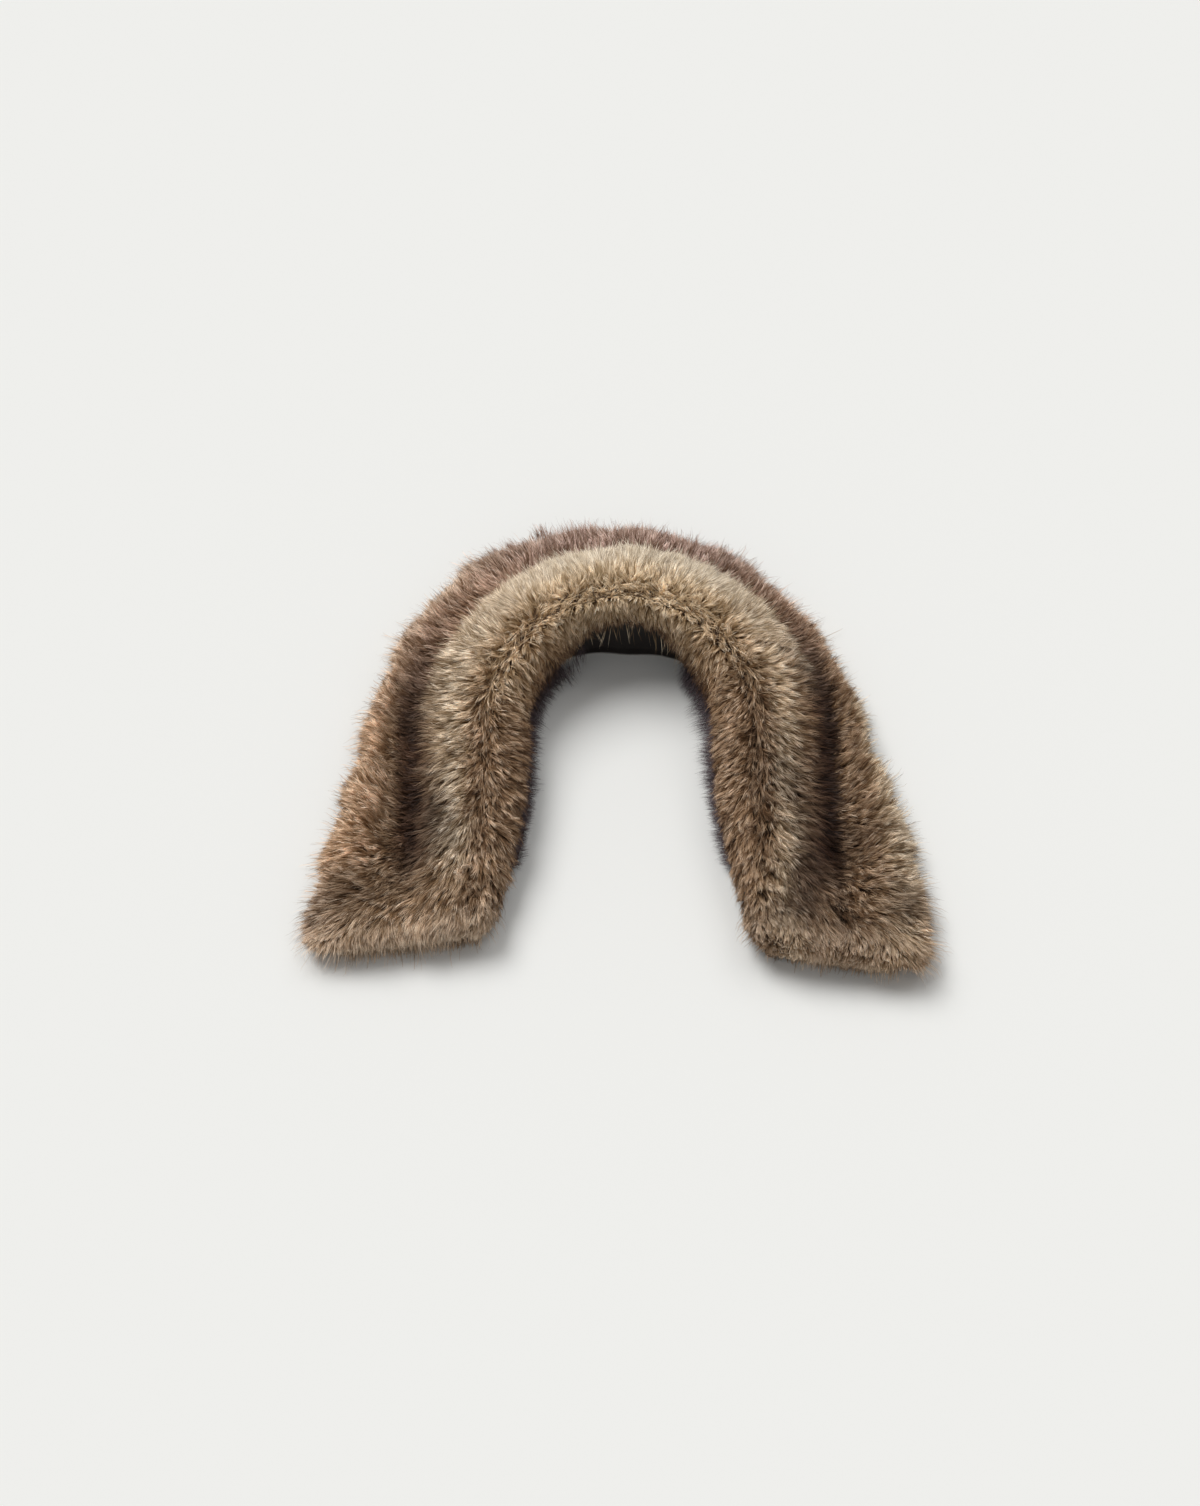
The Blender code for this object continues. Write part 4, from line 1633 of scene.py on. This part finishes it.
class Zone(Enum):
    """The coat's zones across the collar: each one's name, its two lines on the scale of Feature, how many
    strands stand on a square millimetre, and how high and low the tufts lie, in millimetres.
    """

    NECK_SIDE = ("pile_neck_side", Feature.LIP, -0.08, 1.40, 2.4)
    CREST = ("pile_crest", -0.08, 0.55, 1.83, 2.8)
    ROLL = ("pile_roll", 0.55, 1.5, 1.35, 2.8)
    VALLEY = ("pile_valley", 1.5, Feature.FLAP, 1.33, 3.0)
    EDGE = ("pile_edge", Feature.FLAP, Feature.EDGE, 1.17, 3.2)


GUARD_HAIRS = Growth(
    density=0.09, width=0.28, shortest=1.05, longest=1.50, lock_pull=0.10, tuft_size=3.0, tuft_pull=0.80,
    loft=2.0, scatter=0.18, lie=0.6, seed=900,
)
EDGE_HAIRS = replace(GUARD_HAIRS, density=0.07, shortest=1.0, longest=1.75, tousle=3.0, seed=950)
END_HAIRS = replace(EDGE_HAIRS, density=0.08, longest=2.1, seed=960)
STAND_PILE = Growth(
    density=1.5, width=0.24, shortest=0.25, longest=1.30, lock_size=9.0, lock_pull=0.20, tuft_size=2.4,
    tuft_pull=0.45, tousle=2.6, loft=1.2, swirl=0.35, swirl_size=14.0, scatter=0.25, seed=500,
)
LOOSE_HAIRS = Growth(
    density=0.08, width=0.26, shortest=0.5, longest=1.3, lock_pull=0.0, tuft_pull=0.1, loft=1.0, seed=700
)


@dataclass
class Coat:
    """The long pile of the collar, a piece for each zone, and the longer guard hairs over all of it."""

    pelt: Pelt
    strand_width: float = 0.34
    seed_step: int = 100
    guard_line: float = 3.3  # where the edge's longer hairs take over from the guard hairs
    end_rows: int = 14

    def build(self, tree: GrowthTree, fibre: Material, guard_fibre: Material) -> list[Object]:
        """Grow the coat.

        Args:
            tree: The tree that grows strands.
            fibre: The pile's finish.
            guard_fibre: The guard hairs' finish.

        Returns:
            The pieces.
        """
        coats = []
        for number, zone in enumerate(Zone):
            name, low, high, density, loft = zone.value
            growth = Growth(density, self.strand_width, loft=loft, seed=1 + self.seed_step * number)
            coats.append((name, self.pelt.sowing(low, high), growth, fibre))
        line = self.guard_line
        coats.append(("guard_hairs", self.pelt.sowing(Feature.LIP, line), GUARD_HAIRS, guard_fibre))
        coats.append(("edge_hairs", self.pelt.sowing(line, Feature.EDGE), EDGE_HAIRS, guard_fibre))
        for arm, rows in zip(ARMS, (slice(None, self.end_rows), slice(-self.end_rows, None))):
            end = self.pelt.sowing(Feature.LIP, Feature.EDGE, rows)
            coats.append(("end_hairs_" + arm.name, end, END_HAIRS, guard_fibre))
        return [tree.grow(*coat) for coat in coats]


@dataclass
class Backing:
    """The pelt's knitted backing, a thin shell under the pile."""

    pelt: Pelt
    thickness: float = 1.4
    row_step: int = 2
    rim_line: float = 4.2  # past the outer edge, as its rim on the surface belongs to it

    def build(self, finish: Material) -> Object:
        """Make the shell.

        Args:
            finish: Its finish.

        Returns:
            The piece.
        """
        part = self.pelt.sowing(Feature.LIP, self.rim_line, slice(None, None, self.row_step))
        mesh = grid_mesh("pelt_backing", part.root)
        mesh.flip_normals()
        return piece_of("pelt_backing", mesh, finish, self.thickness)


@dataclass
class StandEdge:
    """The dark edge of the stand along one arm: a strip of backing with short pile towards the neck, its
    darkness partly painted shade.
    """

    pelt: Pelt
    arm: Arm
    end: float = 1.70
    held_in: float = 1.0
    hides: float = 6.0  # how far the strip lies under the lip at its end, and where it starts
    hiding_span: float = 0.10  # how soon it comes out there
    steps: int = 90
    thickness: float = 1.2

    def lines(self, place: float) -> tuple[np.ndarray, np.ndarray]:
        """The strip's and its tips' lines at a place, from under the lip to the neck side.

        Args:
            place: The place along the arm.

        Returns:
            The strip's points and where their strands end, as distance from the crest and height.
        """
        arm = self.arm
        section = self.pelt.form.section(place, arm)
        reach = smooth_curve(EDGE_REACH[:, 0], EDGE_REACH[:, 1], place) - arm.edge_in - self.held_in
        lip, top = section.lip_in, section.lip_z
        tucked = ramped(place, arm.edge_tuck, self.end - arm.edge_tuck)
        reach += (lip - 1.0 - reach) * tucked * tucked * (3.0 - 2.0 * tucked)
        inner = 0.5 * (lip + reach)
        begun = ramped(place, arm.edge_start + self.hiding_span, -self.hiding_span)
        reach += (lip - 1.0 - reach) * begun * begun
        back = lip - self.hides * max(tucked**3, begun * begun)
        middle = (5.0 - back, 0.55 * top + 1.6)
        strip = [(8.0 - back, top + 3.0), middle, (3.0 - back, 4.4), (1.5 - back, 2.6)]
        tips = [(-lip - 3.0, top - 2.0), (-inner - 3.0, 7.5), (-reach - 2.5, 5.0), (-reach - 6.5, 2.0)]
        return spline(np.array(strip), 2), spline(np.array(tips), 2)

    def build(self, tree: GrowthTree, fibre: Material, knit: Material) -> list[Object]:
        """Make the strip and its pile.

        Args:
            tree: The tree that grows strands.
            fibre: The strands' finish.
            knit: The strip's finish.

        Returns:
            The strip and the pile.
        """
        places = np.linspace(self.arm.edge_start, self.end, self.steps + 1)
        sowing = band(self.pelt, self.arm, places, self.lines, (-0.4, 0.92), Feature.LIP)
        name = "stand_strip_" + self.arm.name
        mesh = grid_mesh(name, sowing.root)
        if self.arm.side > 0:
            mesh.flip_normals()
        strip = piece_of(name, mesh, knit, self.thickness)
        growth = replace(STAND_PILE, seed=STAND_PILE.seed + self.arm.side)
        return [strip, tree.grow("stand_pile_" + self.arm.name, sowing, growth, fibre)]


@dataclass(frozen=True)
class Stray:
    """A few loose hairs over a short stretch of one arm, from a first line of roots and tips to a second.

    Each end is given as distance from the crest and height, both counted from the lip or the outer edge.
    """

    name: str
    arm: Arm
    start: float
    end: float
    at_edge: bool
    roots: tuple[tuple[float, float], tuple[float, float]]
    tips: tuple[tuple[float, float], tuple[float, float]]
    growth: Growth
    rows: int = 12

    def sowing(self, pelt: Pelt) -> Sowing:
        """The small grid that the hairs stand on.

        Args:
            pelt: The pelt that they belong to.

        Returns:
            The grid.
        """

        def lines(place: float) -> tuple[np.ndarray, np.ndarray]:
            """The lines of the roots and the tips at a place."""
            section = pelt.form.section(place, self.arm)
            corner = (section.reach_out, 0.0) if self.at_edge else (-section.lip_in, section.lip_z)
            return np.array(self.roots) + corner, np.array(self.tips) + corner

        places = np.linspace(self.start, self.end, self.rows)
        lean, across = ((0.7, 0.7), Feature.EDGE) if self.at_edge else ((-0.7, 0.7), Feature.CREST)
        return band(pelt, self.arm, places, lines, lean, across)


PALE_STRAYS = tuple(
    Stray(
        "satin_hairs_" + arm.name, arm, 0.0, 0.34, False,
        ((2.0, 8.0), (-1.0, 3.0)), ((-3.0, -20.0), (-5.0, -10.0)), replace(LOOSE_HAIRS, seed=700 + arm.side),
    )
    for arm in ARMS
)
DARK_STRAYS = (
    Stray(
        "corner_hairs", LEFT, 0.22, 0.44, False,
        ((3.0, -2.0), (0.0, -8.0)), ((-6.0, -11.0), (-10.0, -18.0)),
        replace(LOOSE_HAIRS, density=0.7, width=0.24, tuft_pull=0.4, seed=720),
    ),
)
RIM_STRAYS = (
    Stray(
        "rim_tuft", LEFT, 0.215, 0.245, True, ((-12.0, 22.0), (-5.0, 11.0)), ((3.0, 25.0), (5.0, 15.0)),
        replace(LOOSE_HAIRS, density=0.5, width=0.3, tuft_pull=0.5, seed=740),
    ),
)


@dataclass
class NeckFacing:
    """The black satin facing at the back of the neck, with its hem turned up at the foot."""

    pelt: Pelt
    end: float = 0.40
    steps: int = 96
    heights: int = 15
    thickness: float = 1.6
    foot: float = 0.3  # how high the front's foot is rounded off
    hem_height: float = 5.0
    hem_extra: float = 0.8
    crease_depth: float = 0.35
    crease_width: float = 5.2
    gap: float = 0.3

    def line(self, place: float, arm: Arm) -> list[tuple[float, float]]:
        """The facing's outline at a place: down its front with the crease and the hem, and up its back.

        Args:
            place: The place along the arm.
            arm: The arm.

        Returns:
            The points, as distance from the crest and height.
        """
        section = self.pelt.form.section(place, arm)
        back = -(section.foot_in + self.gap)
        front = back - self.thickness
        top = section.lip_z - self.gap
        along = self.pelt.form.along_crest(place, arm)
        wave = self.crease_depth * math.sin(along / self.crease_width + 0.6 * math.sin(along / 11.0))
        line = []
        for share in np.linspace(0.0, 1.0, self.heights):
            height = top - (top - self.foot) * share
            crease = wave * math.sin(math.pi * share)
            hem = 0.5 + 0.5 * math.tanh((self.hem_height - height) / 0.35)
            line.append((front + 0.3 + crease * (1.0 - hem) - hem * self.hem_extra, height))
        return line + [(front - 0.2, 0.0), (back - 0.4, 0.0), (back, 0.4), (back, 0.5 * top), (back, top)]

    def build(self, finish: Material) -> Object:
        """Make the facing.

        Args:
            finish: Its finish.

        Returns:
            The piece.
        """
        rows = []
        for step in range(self.steps + 1):
            place = self.end * (2.0 * step / self.steps - 1.0)
            arm, place = (LEFT if place < 0 else RIGHT), abs(place)
            rows.append(self.pelt.form.placed(np.array(self.line(place, arm)), place, arm))
        grid = np.array(rows)
        grid[:, :, :2] += self.pelt.shift
        mesh = grid_mesh("satin_facing", np.concatenate([grid, grid[:, :1]], axis=1))
        shell = bmesh.new()
        shell.from_mesh(mesh)
        bmesh.ops.remove_doubles(shell, verts=shell.verts, dist=1e-6)
        bmesh.ops.holes_fill(shell, edges=shell.edges, sides=0)
        bmesh.ops.recalc_face_normals(shell, faces=shell.faces)
        shell.to_mesh(mesh)
        shell.free()
        return piece_of("satin_facing", mesh, finish)


class Sun(NamedTuple):
    """A soft light from far away."""

    name: str
    toward: tuple[float, float, float]
    strength: float
    angle: float  # how wide it looks from the object, in degrees


@dataclass(frozen=True)
class Studio:
    """The floor, the light and the camera."""

    SUNS: ClassVar[tuple[Sun, ...]] = (
        Sun("key_light", (-0.53, 0.56, 1.0), 2.24, 32.0),
        Sun("fill_light", (0.44, 0.60, 1.0), 0.46, 32.0),
    )

    azimuth: float = 3.2
    elevation: float = 60.0
    distance: float = 2.6
    target: tuple[float, float, float] = (-0.021, -0.0155, 0.02)
    pixels_per_cm: float = 13.2
    frame_width: int = 1200
    sensor: float = 36.0
    air_light: float = 0.30
    floor_half: float = 20.0

    def build(self) -> None:
        """Set up the studio."""
        scene = bpy.context.scene
        scene.view_settings.view_transform = "Standard"
        scene.view_settings.look = "None"
        turn, rise = math.radians(self.azimuth), math.radians(self.elevation)
        back = Vector((math.sin(turn) * math.cos(rise), -math.cos(turn) * math.cos(rise), math.sin(rise)))
        lens = bpy.data.cameras.new("camera")
        lens.sensor_fit = "HORIZONTAL"
        lens.sensor_width = self.sensor
        lens.lens = self.sensor * self.distance / (self.frame_width / self.pixels_per_cm / 100.0)
        scene.camera = self.aimed("camera", lens, back)
        scene.camera.location = Vector(self.target) + back * self.distance
        world = bpy.data.worlds.new("studio_air")
        world.use_nodes = True
        air = world.node_tree.nodes["Background"]
        air.inputs["Color"].default_value = (1.0, 1.0, 1.0, 1.0)
        air.inputs["Strength"].default_value = self.air_light
        scene.world = world
        for sun in self.SUNS:
            light = bpy.data.lights.new(sun.name, "SUN")
            light.energy = sun.strength
            light.angle = math.radians(sun.angle)
            self.aimed(sun.name, light, Vector(sun.toward))
        self.lay_floor()

    @staticmethod
    def aimed(name: str, data: ID, back: Vector) -> Object:
        """Put a camera or a light in the scene, with its back to a direction."""
        thing = bpy.data.objects.new(name, data)
        thing.rotation_euler = back.to_track_quat("Z", "Y").to_euler()
        bpy.context.scene.collection.objects.link(thing)
        return thing

    def lay_floor(self) -> None:
        """A wide pale floor."""
        mesh = bpy.data.meshes.new("floor")
        half = self.floor_half
        corners = [(-half, -half, 0), (half, -half, 0), (half, half, 0), (-half, half, 0)]
        mesh.from_pydata(corners, [], [(0, 1, 2, 3)])
        piece_of("floor", mesh, PaperFinish().make())


def main() -> None:
    """Dress the collar."""
    logging.basicConfig(level=logging.INFO, format="%(name)s: %(message)s")
    Studio().build()
    pelt = Pelt(CollarForm())
    tree = GrowthTree("grow_pile")
    fibre = PileFinish().make()
    guard_fibre = PileFinish("modacrylic_guard_hair", dark_tips=0.8, pale_tips=0.15).make()
    dark_fibre = FringeFinish().make()
    knit = KnitFinish().make()
    satin = SatinFinish().make()

    pile = Coat(pelt).build(tree, fibre, guard_fibre)
    backing = Backing(pelt).build(knit)
    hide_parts("fur_collar")
    pieces = {"faux_fur": [backing, *pile], "stand_fur": [], "black_satin": []}
    for piece in pile:
        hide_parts("fur_collar")
    for arm in ARMS:
        parts = StandEdge(pelt, arm).build(tree, dark_fibre, knit)
        pieces["stand_fur"] += parts
        for part in parts:
            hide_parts("stand_edge_" + arm.name)
    for strays, hair in ((PALE_STRAYS, fibre), (DARK_STRAYS, dark_fibre), (RIM_STRAYS, guard_fibre)):
        for stray in strays:
            piece = tree.grow(stray.name, stray.sowing(pelt), stray.growth, hair)
            pieces["faux_fur"].append(piece)
            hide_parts("fur_collar")
    facing = NeckFacing(pelt).build(satin)
    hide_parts("neck_facing")
    pieces["black_satin"].append(facing)
    bpy.data.objects.remove(tree.blade.object)
    for slot, members in pieces.items():
        for piece in members:
            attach(piece, BODY)
            piece.data.calc_loop_triangles()
            log.info("%s: %d triangles", piece.name, len(piece.data.loop_triangles))


if __name__ == "__main__":
    main()
